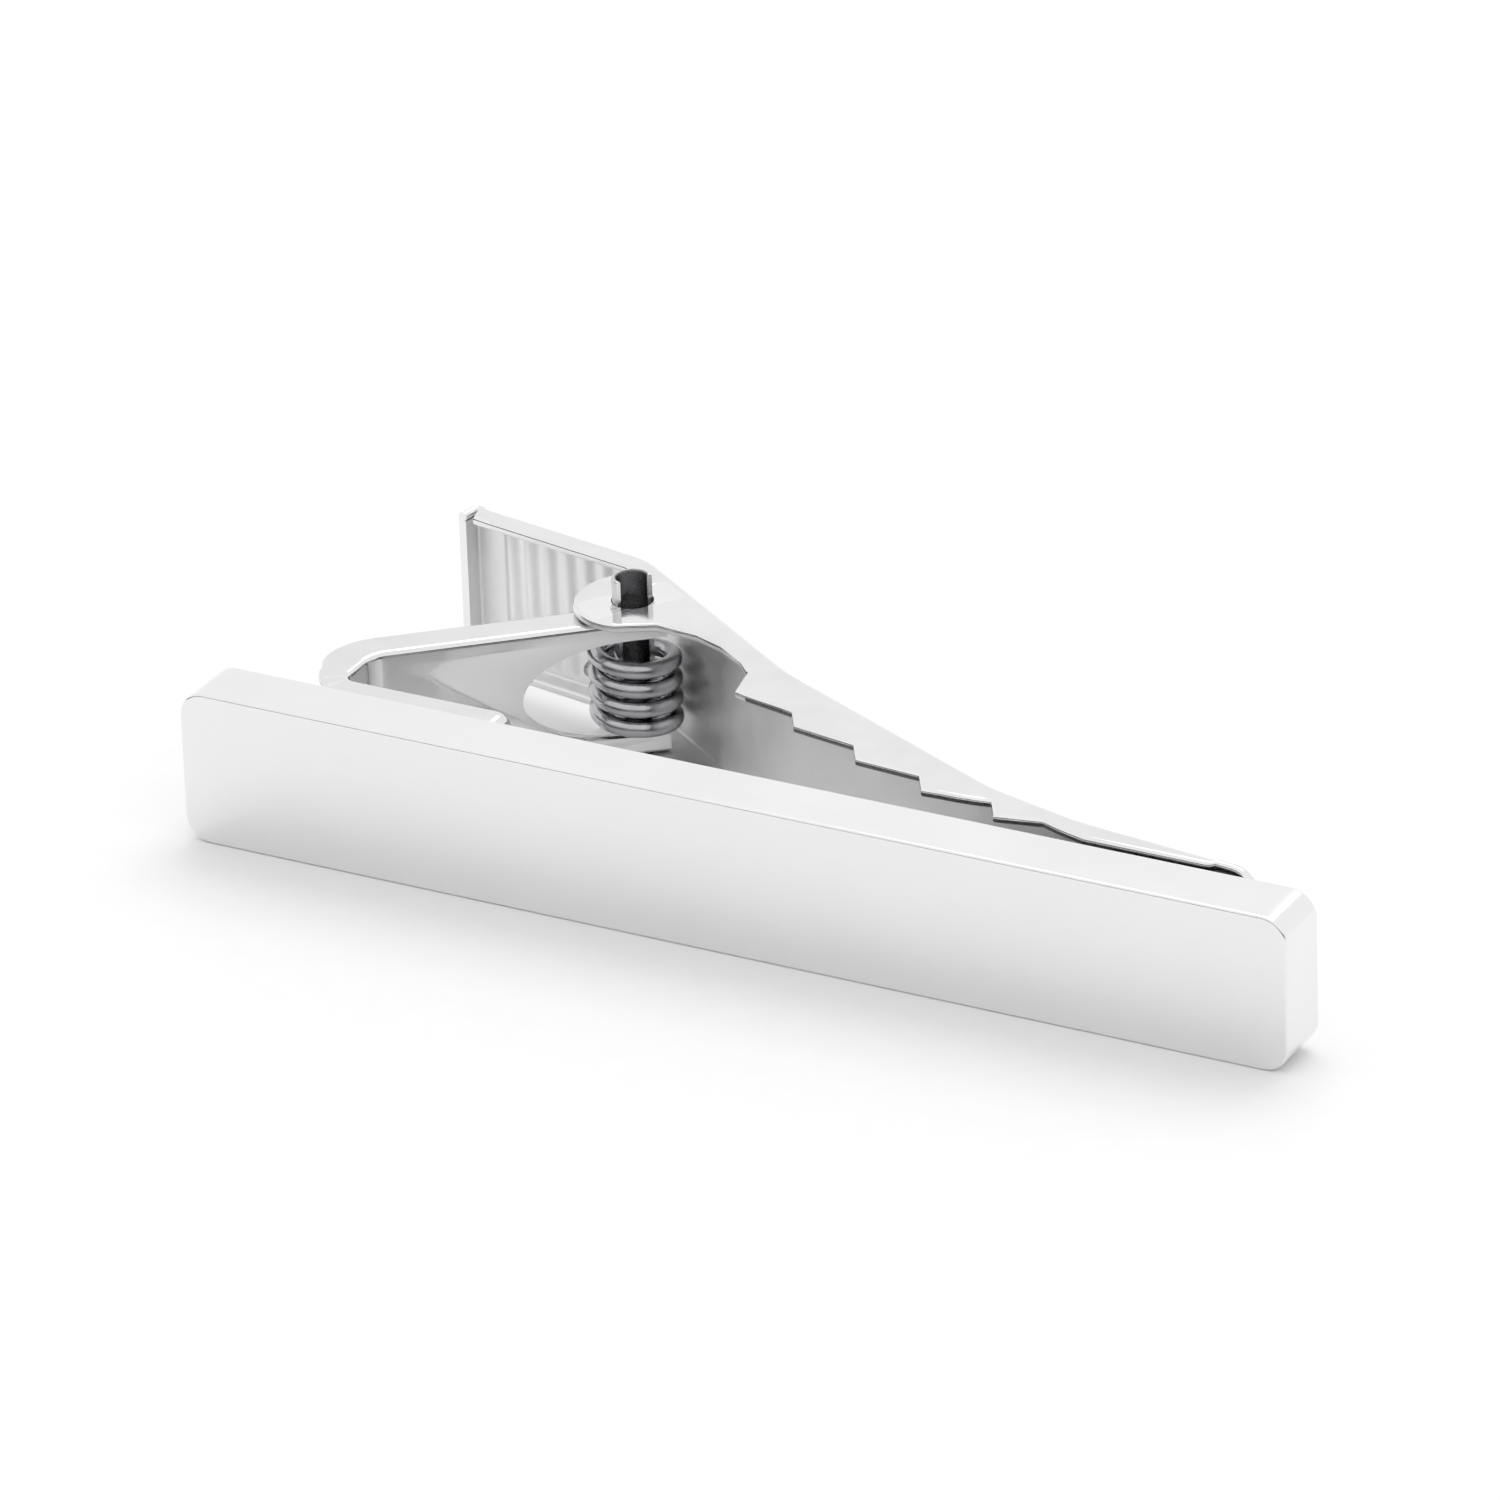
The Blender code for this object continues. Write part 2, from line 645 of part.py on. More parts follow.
def spring_line():
    """Centre line of the wire: bracket leg, left-handed coil, jaw leg."""
    _, leg, _ = bracket_leg()
    tab = unit(TAB_SLOPE)
    to_bracket = PIVOT_BEHIND_LEG - BRACKET_SHEET - WIRE_RADIUS - SPRING_REST_GAP
    leg = turned(leg, lean_to_face(to_bracket))
    tab_corner = Vector((TAB_END_X, PIVOT.y + TAB_BEHIND_PIVOT))
    tab_depth = (PIVOT - tab_corner).dot(right_of(tab))
    to_tab = tab_depth - JAW_SHEET - RIB_DEPTH - WIRE_RADIUS - SPRING_REST_GAP
    tab = turned(tab, lean_to_face(-to_tab))
    toward_bracket = -leg
    toward_tab = -tab
    start = atan2(leg.x, -leg.y)
    finish = atan2(tab.x, -tab.y) + 2 * pi * COIL_TURNS
    height = COIL_PITCH * (finish - start) / (2 * pi)
    turns = ceil((finish - start) / (2 * pi / POINTS_PER_TURN))
    coil = []
    for step in range(turns + 1):
        angle = start + (finish - start) * step / turns
        drop = height * step / turns
        spot = PIVOT + Vector((cos(angle), sin(angle))) * COIL_RADIUS
        coil.append(Vector((spot.x, spot.y, height / 2 - COIL_DROP - drop)))
    first = coil[0] + Vector((*toward_bracket, 0.0)) * SPRING_LEG_LENGTH
    last = coil[-1] + Vector((*toward_tab, 0.0)) * SPRING_LEG_LENGTH
    return [first] + coil + [last]


def tube(points, radius, sides):
    """Round wire swept along points, kept square to the vertical."""
    sections = []
    for index, point in enumerate(points):
        before = points[max(index - 1, 0)]
        after = points[min(index + 1, len(points) - 1)]
        direction = (after - before).normalized()
        side = direction.cross(Vector((0.0, 0.0, 1.0))).normalized()
        up = side.cross(direction)
        angles = [2 * pi * step / sides for step in range(sides)]
        sections.append([point + side * (radius * cos(a)) + up * (radius * sin(a)) for a in angles])
    return loft(sections)


def torsion_spring(parent):
    return add_object(
        "torsion_spring", tube(spring_line(), WIRE_RADIUS, WIRE_SIDES), spring_steel(), parent,
        WIRE_SHARP_ANGLE)


def solder_bond(parent):
    """Solder that fills the foot's channel and holds it to the bar."""
    inside = BRACKET_WIDTH / 2 - BRACKET_SHEET - SOLDER_GAP
    left = BEND_FROM_END + 2 * HEEL_RADIUS
    right = BEND_FROM_END + FOOT_LENGTH - FOOT_CORNER
    front = BAR_THICKNESS + SOLDER_GAP
    back = FOOT_FACE_Y - BRACKET_SHEET - SOLDER_GAP
    low_back = inside - (BRACKET_BEND - BRACKET_SHEET) - SOLDER_GAP
    shoulder = back - SOLDER_CHAMFER
    half_back = low_back - SOLDER_CHAMFER
    outline = [
        (front, -inside), (shoulder, -inside), (back, -half_back),
        (back, half_back), (shoulder, inside), (front, inside)]
    mesh_data = loft([[(x, y, z) for y, z in outline] for x in (left, right)])
    return add_object("solder_bond", mesh_data, solder_alloy(), parent)


# ---------------------------------------------------------------- assembly

def stand_on_table(frame, pieces):
    """Lean the clip onto its two resting lines and centre its box over the origin."""
    frame.rotation_euler = (LEAN, 0.0, 0.0)
    bpy.context.view_layer.update()
    graph = bpy.context.evaluated_depsgraph_get()
    low = Vector((1e9, 1e9, 1e9))
    high = -low
    for piece in pieces:
        shaped = piece.evaluated_get(graph)
        mesh = shaped.to_mesh()
        for vertex in mesh.vertices:
            spot = shaped.matrix_world @ vertex.co
            low = Vector(map(min, low, spot))
            high = Vector(map(max, high, spot))
        shaped.to_mesh_clear()
    frame.location = (-(low.x + high.x) / 2, -(low.y + high.y) / 2, -low.z)


def main():
    for old in list(bpy.data.objects):
        bpy.data.objects.remove(old, do_unlink=True)
    frame = bpy.data.objects.new("resting_frame", None)
    bpy.context.scene.collection.objects.link(frame)
    pieces = [
        front_bar(frame),
        base_bracket(frame),
        hinge_pin(frame),
        solder_bond(frame),
        torsion_spring(frame),
        jaw_lever(frame),
    ]
    hinge = bpy.data.objects.new("jaw_hinge", None)
    bpy.context.scene.collection.objects.link(hinge)
    hinge.parent = frame
    hinge.location = (PIVOT.x, PIVOT.y, 0.0)
    jaw = pieces[-1]
    jaw.parent = hinge
    jaw.matrix_parent_inverse = Matrix.Translation((-PIVOT.x, -PIVOT.y, 0.0))
    stand_on_table(frame, pieces)


main()
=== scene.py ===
"""Polished tie clip with a sprung alligator jaw, lying on a pale table in soft light.

Sizes are in millimetres in the bar's own axes: X along the bar from its left end, Y back
from its front face, Z up from the middle of its width. on_table() leans the finished piece
forward onto its two resting lines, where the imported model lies.
"""
import bisect
import json
from math import acos, asin, atan2, ceil, cos, floor, hypot, pi, radians, sin, sqrt, tan

import bmesh
import bpy
from mathutils import Matrix, Vector


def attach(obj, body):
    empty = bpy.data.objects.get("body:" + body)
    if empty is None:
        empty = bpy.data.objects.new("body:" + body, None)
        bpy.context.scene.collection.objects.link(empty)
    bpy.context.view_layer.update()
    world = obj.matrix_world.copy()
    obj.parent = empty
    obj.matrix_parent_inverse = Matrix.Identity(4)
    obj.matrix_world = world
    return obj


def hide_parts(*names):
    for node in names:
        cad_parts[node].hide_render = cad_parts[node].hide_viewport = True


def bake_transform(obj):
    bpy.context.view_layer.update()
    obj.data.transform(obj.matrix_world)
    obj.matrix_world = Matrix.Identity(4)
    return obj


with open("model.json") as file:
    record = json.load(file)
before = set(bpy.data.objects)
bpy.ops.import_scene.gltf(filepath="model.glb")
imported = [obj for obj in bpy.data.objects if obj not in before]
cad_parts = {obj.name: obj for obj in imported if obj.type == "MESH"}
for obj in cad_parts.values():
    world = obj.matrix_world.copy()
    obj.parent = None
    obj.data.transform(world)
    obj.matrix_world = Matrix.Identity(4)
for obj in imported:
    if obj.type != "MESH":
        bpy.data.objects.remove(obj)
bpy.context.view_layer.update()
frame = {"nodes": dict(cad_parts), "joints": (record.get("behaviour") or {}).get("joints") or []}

MM = 0.001
BODY = "bar_and_bracket"
JAW = "jaw"

# ---------------------------------------------------------------- sizes, as in the model

BAR_LENGTH = 44.3
BAR_WIDTH = 6.0
BAR_THICKNESS = 2.52
BAR_CORNER_RADIUS = 1.0
BAR_EDGE_RADIUS = 0.1

SOLDER_GAP = 0.03
SIDE_CLEARANCE = 0.08
PIN_CLEARANCE = 0.04
TIP_GAP = 0.1
COIL_CLEARANCE = 0.14
COIL_SLACK_ON_PIN = 0.34
SPRING_REST_GAP = 0.03

BRACKET_SHEET = 0.35
BRACKET_BEND = 0.22
JAW_SHEET = 0.34
JAW_BEND = 0.42
RIM_RADIUS = 0.14
CUT_EDGE_RADIUS = 0.05

PIVOT_FROM_END = 11.6
PIVOT_STANDOFF = 10.58

PIN_RADIUS = 0.75
PIN_WALL = 0.18
PIN_SEAM_ANGLE = radians(150)
PIN_SEAM_FACING = radians(-34)
PIN_PROUD_UPPER = 0.94
PIN_PROUD_LOWER = 0.65
PIN_EDGE_RADIUS = 0.06

BRACKET_INSET = 0.25
BRACKET_WIDTH = BAR_WIDTH - 2 * BRACKET_INSET
FOOT_DEPTH = 1.3
FOOT_LENGTH = 6.9
FOOT_CORNER = 0.5
BEND_FROM_END = 4.7
BEND_RISE = 2.08
HEEL_RADIUS = 0.5
LEG_RADIUS = 1.2
LIP_ON_LEG = 1.45
LIP_AT_BULGE = 1.58
LIP_AT_HEEL = 1.02
LEG_SKIN_AT_PIN = 0.13
PIVOT_BEHIND_LEG = PIN_RADIUS + PIN_CLEARANCE + LEG_SKIN_AT_PIN
EAR_WALL = 0.34
EAR_ROOT = 0.3
LEG_END_WALL = 0.27
LEG_PAST_PIVOT = PIN_RADIUS + PIN_CLEARANCE + LEG_END_WALL
WINDOW_REACH = 4.41
RAIL_WIDTH = 0.8
WINDOW_HEIGHT = BRACKET_WIDTH - 2 * RAIL_WIDTH
WINDOW_END_LENGTH = 3.9
WINDOW_OVERCUT = 1.0

WIRE_RADIUS = 0.33
COIL_RADIUS = PIN_RADIUS + COIL_SLACK_ON_PIN + WIRE_RADIUS
COIL_GAP = 0.13
COIL_PITCH = 2 * WIRE_RADIUS + COIL_GAP
COIL_OVERHANG = 0.15
COIL_DROP = 0.2
COIL_TURNS = floor((WINDOW_HEIGHT - 2 * WIRE_RADIUS + COIL_OVERHANG) / COIL_PITCH)
SPRING_LEG_LENGTH = 4.6
WIRE_END_ROUNDING = 0.07
WIRE_END_SHARE = 0.72

TAB_END_X = 2.22
TAB_BEHIND_PIVOT = 5.05
TAB_SLOPE = -0.19
TAB_LIP = 1.12
TAB_END_LIP = 1.0
TAB_END_RADIUS = 0.45
TAB_CORNER_LIP = 0.85 * TAB_END_RADIUS
TAB_LIP_RAMP = 0.35
KNEE_RADIUS = 3.0
SPINE_SLOPE = -0.69
SPINE_RADIUS = 9.0
TIP_FROM_BAR_END = 2.4
TIP_SLOPE_RISE = 0.06
TIP_CORNER = 1.0
NOSE_RADIUS = 2.2
NOSE_MARGIN = 0.1

SHOULDER = 0.2607
HOLLOW = (0.6238, 0.2382)
FLAT = (0.7525, 0.1371)
THROAT = ((0.0578, 0.8648), (0.1139, 0.8507), (0.1556, 0.8043), (0.1980, 0.7240), (0.2195, 0.6580))
FIRST_TOOTH = 0.2294
LAST_TOOTH = 0.6571
TOOTH_RISE = 0.4811
TOOTH_COUNT = 5
TOOTH_CURVE = 1.35
LAST_TOOTH_GAP = 0.36
NOTCH_BACK = 0.6
NOTCH_DEPTH = 1.0
LAST_NOTCH = (0.0579, 0.62)
PAD = (0.7789, 0.9439)
PAD_END_RADIUS = 0.35
PAD_END_SHAPE = (0.6, 0.2)
TIP_LIP = 1.25 * JAW_SHEET

RIB_COUNT = 7
RIB_PITCH = 0.9
RIB_DEPTH = 0.16
RIB_START = 1.1
RIB_SIDE_MARGIN = 0.35

PIVOT = Vector((PIVOT_FROM_END, BAR_THICKNESS + PIVOT_STANDOFF))
JAW_REACH = BAR_LENGTH - TIP_FROM_BAR_END - PIVOT_FROM_END
TIP = Vector((PIVOT.x + JAW_REACH, BAR_THICKNESS + TIP_GAP + JAW_SHEET + TIP_SLOPE_RISE))
EAR_RADIUS = PIN_RADIUS + PIN_CLEARANCE + EAR_WALL
JAW_WIDTH = BRACKET_WIDTH + 2 * (SIDE_CLEARANCE + JAW_SHEET)
SPINE_BEHIND_PIVOT = COIL_RADIUS + WIRE_RADIUS + COIL_CLEARANCE + JAW_SHEET
FOOT_FACE_Y = BAR_THICKNESS + SOLDER_GAP + FOOT_DEPTH

# ---------------------------------------------------------------- fineness of the meshes

BEND_STEP = radians(4)
SECTION_BEND_STEPS = 8
RIM_STEPS = 3
HOLDING = 0.04          # from a bend or rim to the extra row that keeps the face beside it flat
HOLDING_SHARE = 0.2     # the same on a side too shallow for that, as a share of its flat part
MOST_BEND = 0.9         # the most of a side's depth, less its rim, that its bend takes
CLOSEST_SECTIONS = 0.008
RIB_STEPS = 14
CORNER_STEPS = 9
EAR_STEPS = 24
BULGE_STEPS = 14
NOSE_STEPS = 32
NOSE_SHOWING = 0.75     # how much of a half circle the nose is, up to the throat
WINDOW_POINTS = 41
BORE_SIDES = 64
PIN_POINTS = 45
PIN_EDGE_SOFTENING = 0.4
WIRE_SIDES = 16
POINTS_PER_TURN = 40
LEG_SHARES = (1.0, 0.85, 0.5, 0.15, 0.03)
BAR_CORNER_STEPS = 16
BAR_EDGE_STEPS = 6
BAR_FACE_HOLDING = 0.5
LEAST_BEND = 0.02
TINY = 1e-7
ARC_PARTS = 6
SHARP_ANGLE = radians(38)
WIRE_SHARP_ANGLE = radians(60)
CUT_EDGE_ANGLE = radians(50)
CUT_EDGE_SEGMENTS = 2


# ---------------------------------------------------------------- lines in plan

def unit(slope):
    """The unit vector of a line that rises by slope for each unit of X."""
    return Vector((1.0, slope)).normalized()


def right_of(direction):
    """A direction turned a quarter turn clockwise, seen from above."""
    return Vector((direction.y, -direction.x))


def turned(direction, angle):
    """A direction turned anticlockwise, seen from above."""
    side = Vector((-direction.y, direction.x))
    return direction * cos(angle) + side * sin(angle)


def meet(point_a, dir_a, point_b, dir_b):
    """Where two lines in the plane cross."""
    cross = dir_a.x * dir_b.y - dir_a.y * dir_b.x
    gap = point_b - point_a
    return point_a + dir_a * ((gap.x * dir_b.y - gap.y * dir_b.x) / cross)


def route(corners, radii):
    """A bent strip's line: straight runs joined by arcs of the given radii.

    Each run is its kind, distance from the start, length, first point, first direction and turn.
    """
    runs = []
    start = corners[0]
    reach = 0.0
    for before, corner, after, radius in zip(corners, corners[1:], corners[2:], radii):
        into = (corner - before).normalized()
        out = (after - corner).normalized()
        turn = atan2(into.x * out.y - into.y * out.x, into.dot(out))
        setback = radius * tan(abs(turn) / 2)
        bend_start = corner - into * setback
        run = (bend_start - start).length
        runs.append(("line", reach, run, start, into, 0.0))
        reach += run
        runs.append(("arc", reach, radius * abs(turn), bend_start, into, turn))
        reach += radius * abs(turn)
        start = corner + out * setback
    last = corners[-1] - start
    runs.append(("line", reach, last.length, start, last.normalized(), 0.0))
    return runs


def length_of(runs):
    return runs[-1][1] + runs[-1][2]


def along(runs, reach):
    """The point and the direction of a route at a distance from its start."""
    starts = [run[1] for run in runs]
    kind, begin, length, start, into, turn = runs[max(bisect.bisect_right(starts, reach) - 1, 0)]
    step = reach - begin
    if kind == "line":
        return start + into * step, into
    angle = turn * step / length
    radius = length / turn
    side = Vector((-into.y, into.x))
    point = start + into * (radius * sin(angle)) + side * (radius * (1 - cos(angle)))
    return point, into * cos(angle) + side * sin(angle)


def reach_of(runs, target):
    """Distance along the route whose normal passes through the target, and the depth there."""
    best = None
    for kind, begin, length, _, _, _ in runs:
        count = 1 if kind == "line" else ARC_PARTS
        for index in range(count):
            low = begin + length * index / count
            high = begin + length * (index + 1) / count
            point_low, dir_low = along(runs, low)
            point_high, dir_high = along(runs, high - TINY)
            ahead_low = (target - point_low).dot(dir_low)
            ahead_high = (target - point_high).dot(dir_high)
            if ahead_low >= -TINY and ahead_high <= TINY:
                share = ahead_low / (ahead_low - ahead_high) if ahead_low > ahead_high else 0.0
                reach = low + (high - low) * share
                point, direction = along(runs, reach)
                depth = (target - point).dot(right_of(direction))
                if depth > 0 and (best is None or depth < best[1]):
                    best = (reach, depth)
    return best


def between(table, reach):
    """The value at a distance, from a list of (distance, value) joined by straight lines."""
    places = [place for place, _ in table]
    index = bisect.bisect_right(places, reach)
    if index == 0:
        return table[0][1]
    if index == len(table):
        return table[-1][1]
    (low, low_value), (high, high_value) = table[index - 1], table[index]
    return low_value + (high_value - low_value) * (reach - low) / (high - low)


# ---------------------------------------------------------------- putting pieces on the table

def on_table():
    """The matrix from the bar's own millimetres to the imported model's place in metres."""
    axis = Vector(frame["joints"][0]["axis"])
    lean = Matrix.Rotation(atan2(-axis.y, axis.z), 4, "X")
    pivot = Vector(frame["joints"][0]["pos_m"])
    shift = pivot - lean @ Vector((PIVOT.x, PIVOT.y, 0.0)) * MM
    return Matrix.Translation(shift) @ lean @ Matrix.Scale(MM, 4)


TABLE = on_table()


def finish_mesh(name, mesh_data, finish, sharp_angle=SHARP_ANGLE):
    """Turn a bmesh in millimetres into a named, smooth-shaded piece, still in the bar's axes."""
    bmesh.ops.recalc_face_normals(mesh_data, faces=mesh_data.faces)
    mesh = bpy.data.meshes.new(name)
    mesh_data.to_mesh(mesh)
    mesh_data.free()
    mesh.shade_smooth()
    mesh.set_sharp_from_angle(angle=sharp_angle)
    piece = bpy.data.objects.new(name, mesh)
    if finish is not None:
        mesh.materials.append(finish)
    bpy.context.scene.collection.objects.link(piece)
    return piece


def settle(piece, sharp_angle=SHARP_ANGLE):
    """Make the cuts and edge breaks final, mark the creases and put the piece on the table."""
    graph = bpy.context.evaluated_depsgraph_get()
    mesh = bpy.data.meshes.new_from_object(piece.evaluated_get(graph))
    mesh.transform(TABLE)
    mesh.shade_smooth()
    mesh.set_sharp_from_angle(angle=sharp_angle)
    old = piece.data
    piece.modifiers.clear()
    piece.data = mesh
    bpy.data.meshes.remove(old)
    mesh.name = piece.name
    return piece


def loft(sections):
    """A closed solid through equal rings of points, capped at both ends."""
    mesh_data = bmesh.new()
    rings = [[mesh_data.verts.new(point) for point in section] for section in sections]
    size = len(rings[0])
    for ring, following in zip(rings, rings[1:]):
        for index in range(size):
            after = (index + 1) % size
            mesh_data.faces.new((ring[index], ring[after], following[after], following[index]))
    mesh_data.faces.new(reversed(rings[0]))
    mesh_data.faces.new(rings[-1])
    return mesh_data


def circle(centre, radius, count, start=0.0, sweep=2 * pi, closed=True):
    """Points evenly round a circle, or along an arc with both its ends when it is not closed."""
    steps = count if closed else count - 1
    angles = [start + sweep * index / steps for index in range(count)]
    return [(centre.x + radius * cos(angle), centre.y + radius * sin(angle)) for angle in angles]


def cut(piece, *cutters):
    """Cut a piece with guide solids, break the cut edges, settle it and drop the guides."""
    for cutter in cutters:
        boolean = piece.modifiers.new(cutter.name, "BOOLEAN")
        boolean.operation = "DIFFERENCE"
        boolean.solver = "EXACT"
        boolean.object = cutter
    bevel = piece.modifiers.new("broken_edges", "BEVEL")
    bevel.width = CUT_EDGE_RADIUS
    bevel.segments = CUT_EDGE_SEGMENTS
    bevel.limit_method = "ANGLE"
    bevel.angle_limit = CUT_EDGE_ANGLE
    settle(piece)
    for cutter in cutters:
        bpy.data.objects.remove(cutter, do_unlink=True)
    return piece


# ---------------------------------------------------------------- pressed channels

def half_section(half_width, depth, sheet, bend, dent):
    """Half of a U section, (depth, height) pairs: outer web, bend, side, rolled rim, inner side.

    The web's outer face is at depth 0, the side's outer face at half_width.
    """
    rim = RIM_RADIUS
    bend = min(bend, (depth - rim) * MOST_BEND)
    inner = max(bend - sheet, LEAST_BEND)
    web_edge = half_width - bend - RIB_SIDE_MARGIN
    outer = [(dent, web_edge), (0.0, half_width - bend - HOLDING)]
    for step in range(SECTION_BEND_STEPS + 1):
        angle = pi / 2 * step / SECTION_BEND_STEPS
        outer.append((bend - bend * cos(angle), half_width - bend + bend * sin(angle)))
    side_start = max(bend + HOLDING, sheet + inner + HOLDING)
    side_start = min(side_start, depth - rim - LEAST_BEND)
    outer.append((side_start, half_width))
    side_end = depth - rim - min(HOLDING, HOLDING_SHARE * (depth - rim - side_start))
    outer.append((side_end, half_width))
    for step in range(RIM_STEPS + 1):
        angle = pi / 2 * step / RIM_STEPS
        outer.append((depth - rim + rim * sin(angle), half_width - rim + rim * cos(angle)))
    inside = half_width - sheet
    back = []
    for step in range(RIM_STEPS + 1):
        angle = pi / 2 * step / RIM_STEPS
        back.append((depth - rim + rim * cos(angle), inside + rim - rim * sin(angle)))
    back.append((side_end, inside))
    floor_depth = sheet + inner
    flat_start = max(floor_depth + HOLDING, side_start) if depth > 2 * bend else side_start
    back.append((flat_start, inside))
    for step in range(SECTION_BEND_STEPS + 1):
        angle = pi / 2 * step / SECTION_BEND_STEPS
        back.append((floor_depth - inner * sin(angle), inside - inner + inner * cos(angle)))
    back.append((sheet, inside - inner - HOLDING))
    back.append((sheet + dent, web_edge))
    return outer, back


def channel(name, runs, stations, depth_at, half_width_at, sheet, bend, dent_at, finishes, sheared):
    """A pressed channel that follows a route, its sides on the right of the route.

    finishes are its outside, its inside and its sheared rim, which starts at sheared.
    """
    sections = []
    for reach in stations:
        point, direction = along(runs, reach)
        inward = right_of(direction)
        outer, back = half_section(
            half_width_at(reach), depth_at(reach), sheet, bend, dent_at(reach))
        ring = outer + back
        ring += [(depth, -height) for depth, height in reversed(back)]
        ring += [(depth, -height) for depth, height in reversed(outer)]
        spots = [(point + inward * depth, height) for depth, height in ring]
        sections.append([(spot.x, spot.y, height) for spot, height in spots])
    mesh_data = loft(sections)
    size = len(sections[0])
    rim = len(outer) - 1
    for index, face in enumerate(list(mesh_data.faces)[:-2]):
        station, place = divmod(index, size)
        place = min(place, size - 2 - place)
        if place >= rim:
            face.material_index = 1
            if place <= rim + RIM_STEPS and stations[station] > sheared:
                face.material_index = 2
    piece = finish_mesh(name, mesh_data, finishes[0])
    for finish in finishes[1:]:
        piece.data.materials.append(finish)
    return piece


def loft_stations(runs, wanted):
    """Distances for the sections of a channel: each bend's steps and the wanted ones."""
    marks = set(wanted)
    for kind, begin, length, _, _, turn in runs:
        steps = max(ceil(abs(turn) / BEND_STEP), 1) if kind == "arc" else 1
        marks.update(begin + length * step / steps for step in range(steps + 1))
        if kind == "line" and length > 4 * HOLDING:
            marks.update((begin + HOLDING, begin + length - HOLDING))
    end = length_of(runs)
    tidy = []
    for mark in sorted(mark for mark in marks if 0 <= mark <= end):
        if not tidy or mark - tidy[-1] > CLOSEST_SECTIONS:
            tidy.append(mark)
    return tidy


def corner_width(from_end, radius, half_width):
    """Half width near an end whose corners are rounded."""
    if from_end >= radius:
        return half_width
    return half_width - radius + sqrt(max(radius ** 2 - (radius - from_end) ** 2, 0.0))


def corner_marks(end, radius):
    """Distances for the sections of a rounded end."""
    angles = [pi / 2 * step / CORNER_STEPS for step in range(CORNER_STEPS + 1)]
    return [end - radius * (1 - cos(angle)) for angle in angles]


def bore_cutter(name):
    """A rod through both sides, as wide as the pin's bore."""
    outline = circle(PIVOT, PIN_RADIUS + PIN_CLEARANCE, BORE_SIDES)
    sections = [[(x, y, z) for x, y in outline] for z in (-JAW_WIDTH, JAW_WIDTH)]
    return finish_mesh(name, loft(sections), None)


# ---------------------------------------------------------------- bracket

def bracket_leg():
    """The leg's face toward the bar: where it starts, its direction and the pivot's foot."""
    heel_top = Vector((BEND_FROM_END, FOOT_FACE_Y + BEND_RISE))
    to_pivot = PIVOT - heel_top
    lean_off = acos(sqrt(1 - (PIVOT_BEHIND_LEG / to_pivot.length) ** 2))
    angle = atan2(to_pivot.y, to_pivot.x) - lean_off
    direction = Vector((cos(angle), sin(angle)))
    foot = heel_top + direction * to_pivot.dot(direction)
    return heel_top, direction, foot


def bracket_route():
    """From the leg's free end, down the leg, round the bend and along the foot."""
    heel_top, direction, pivot_foot = bracket_leg()
    corners = [
        pivot_foot + direction * LEG_PAST_PIVOT,
        heel_top,
        Vector((BEND_FROM_END, FOOT_FACE_Y)),
        Vector((BEND_FROM_END + FOOT_LENGTH, FOOT_FACE_Y)),
    ]
    return route(corners, (LEG_RADIUS, HEEL_RADIUS))


def bracket_depths(runs):
    """Depth of the bracket's lips along its route, with a round ear at the pivot."""
    table = [(0.0, PIVOT_BEHIND_LEG + EAR_ROOT * EAR_RADIUS)]
    for step in range(EAR_STEPS + 1):
        place = LEG_PAST_PIVOT + EAR_RADIUS * (2 * step / EAR_STEPS - 1)
        if place <= 0:
            continue
        rise = sqrt(max(EAR_RADIUS ** 2 - (place - LEG_PAST_PIVOT) ** 2, 0))
        table.append((place, max(PIVOT_BEHIND_LEG + rise, LIP_ON_LEG)))
    table.append((runs[0][2], LIP_ON_LEG))
    bulge = runs[2][1]
    mid_heel = runs[3][1] + 0.5 * runs[3][2]
    for step in range(BULGE_STEPS + 1):
        share = step / BULGE_STEPS
        depth = LIP_AT_HEEL + (LIP_AT_BULGE - LIP_AT_HEEL) * cos(pi / 2 * share)
        table.append((bulge + (mid_heel - bulge) * share, depth))
    table.append((runs[4][1], FOOT_DEPTH))
    return table


def window_cutter():
    """The slot in the leg that the coil sits in: oval at its inner end, open past the pivot."""
    _, direction, pivot_foot = bracket_leg()
    half = WINDOW_HEIGHT / 2
    inner = -WINDOW_REACH + WINDOW_END_LENGTH
    outer = LEG_PAST_PIVOT + EAR_RADIUS
    round_end = circle(Vector((0.0, 0.0)), 1.0, WINDOW_POINTS, pi / 2, pi, closed=False)
    outline = [(inner + WINDOW_END_LENGTH * x, half * z) for x, z in round_end]
    outline += [(outer, -half), (outer, half)]
    inward = right_of(direction)
    sections = []
    for depth in (WINDOW_OVERCUT, -PIVOT_BEHIND_LEG - 2 * EAR_RADIUS):
        ring = []
        for reach, height in outline:
            spot = pivot_foot + direction * reach + inward * depth
            ring.append((spot.x, spot.y, height))
        sections.append(ring)
    return finish_mesh("window_cutter", loft(sections), None)


def bent_bracket(finishes):
    """Pressed channel bent into a V: a foot on the bar's back and a forked leg to the pin."""
    runs = bracket_route()
    depths = bracket_depths(runs)
    end = length_of(runs)
    stations = loft_stations(runs, [place for place, _ in depths] + corner_marks(end, FOOT_CORNER))
    bracket = channel(
        "bent_bracket", runs, stations,
        lambda reach: between(depths, reach),
        lambda reach: corner_width(end - reach, FOOT_CORNER, BRACKET_WIDTH / 2),
        BRACKET_SHEET, BRACKET_BEND, lambda reach: 0.0, finishes, end)
    return cut(bracket, window_cutter(), bore_cutter("bracket_bore_cutter"))


# ---------------------------------------------------------------- jaw

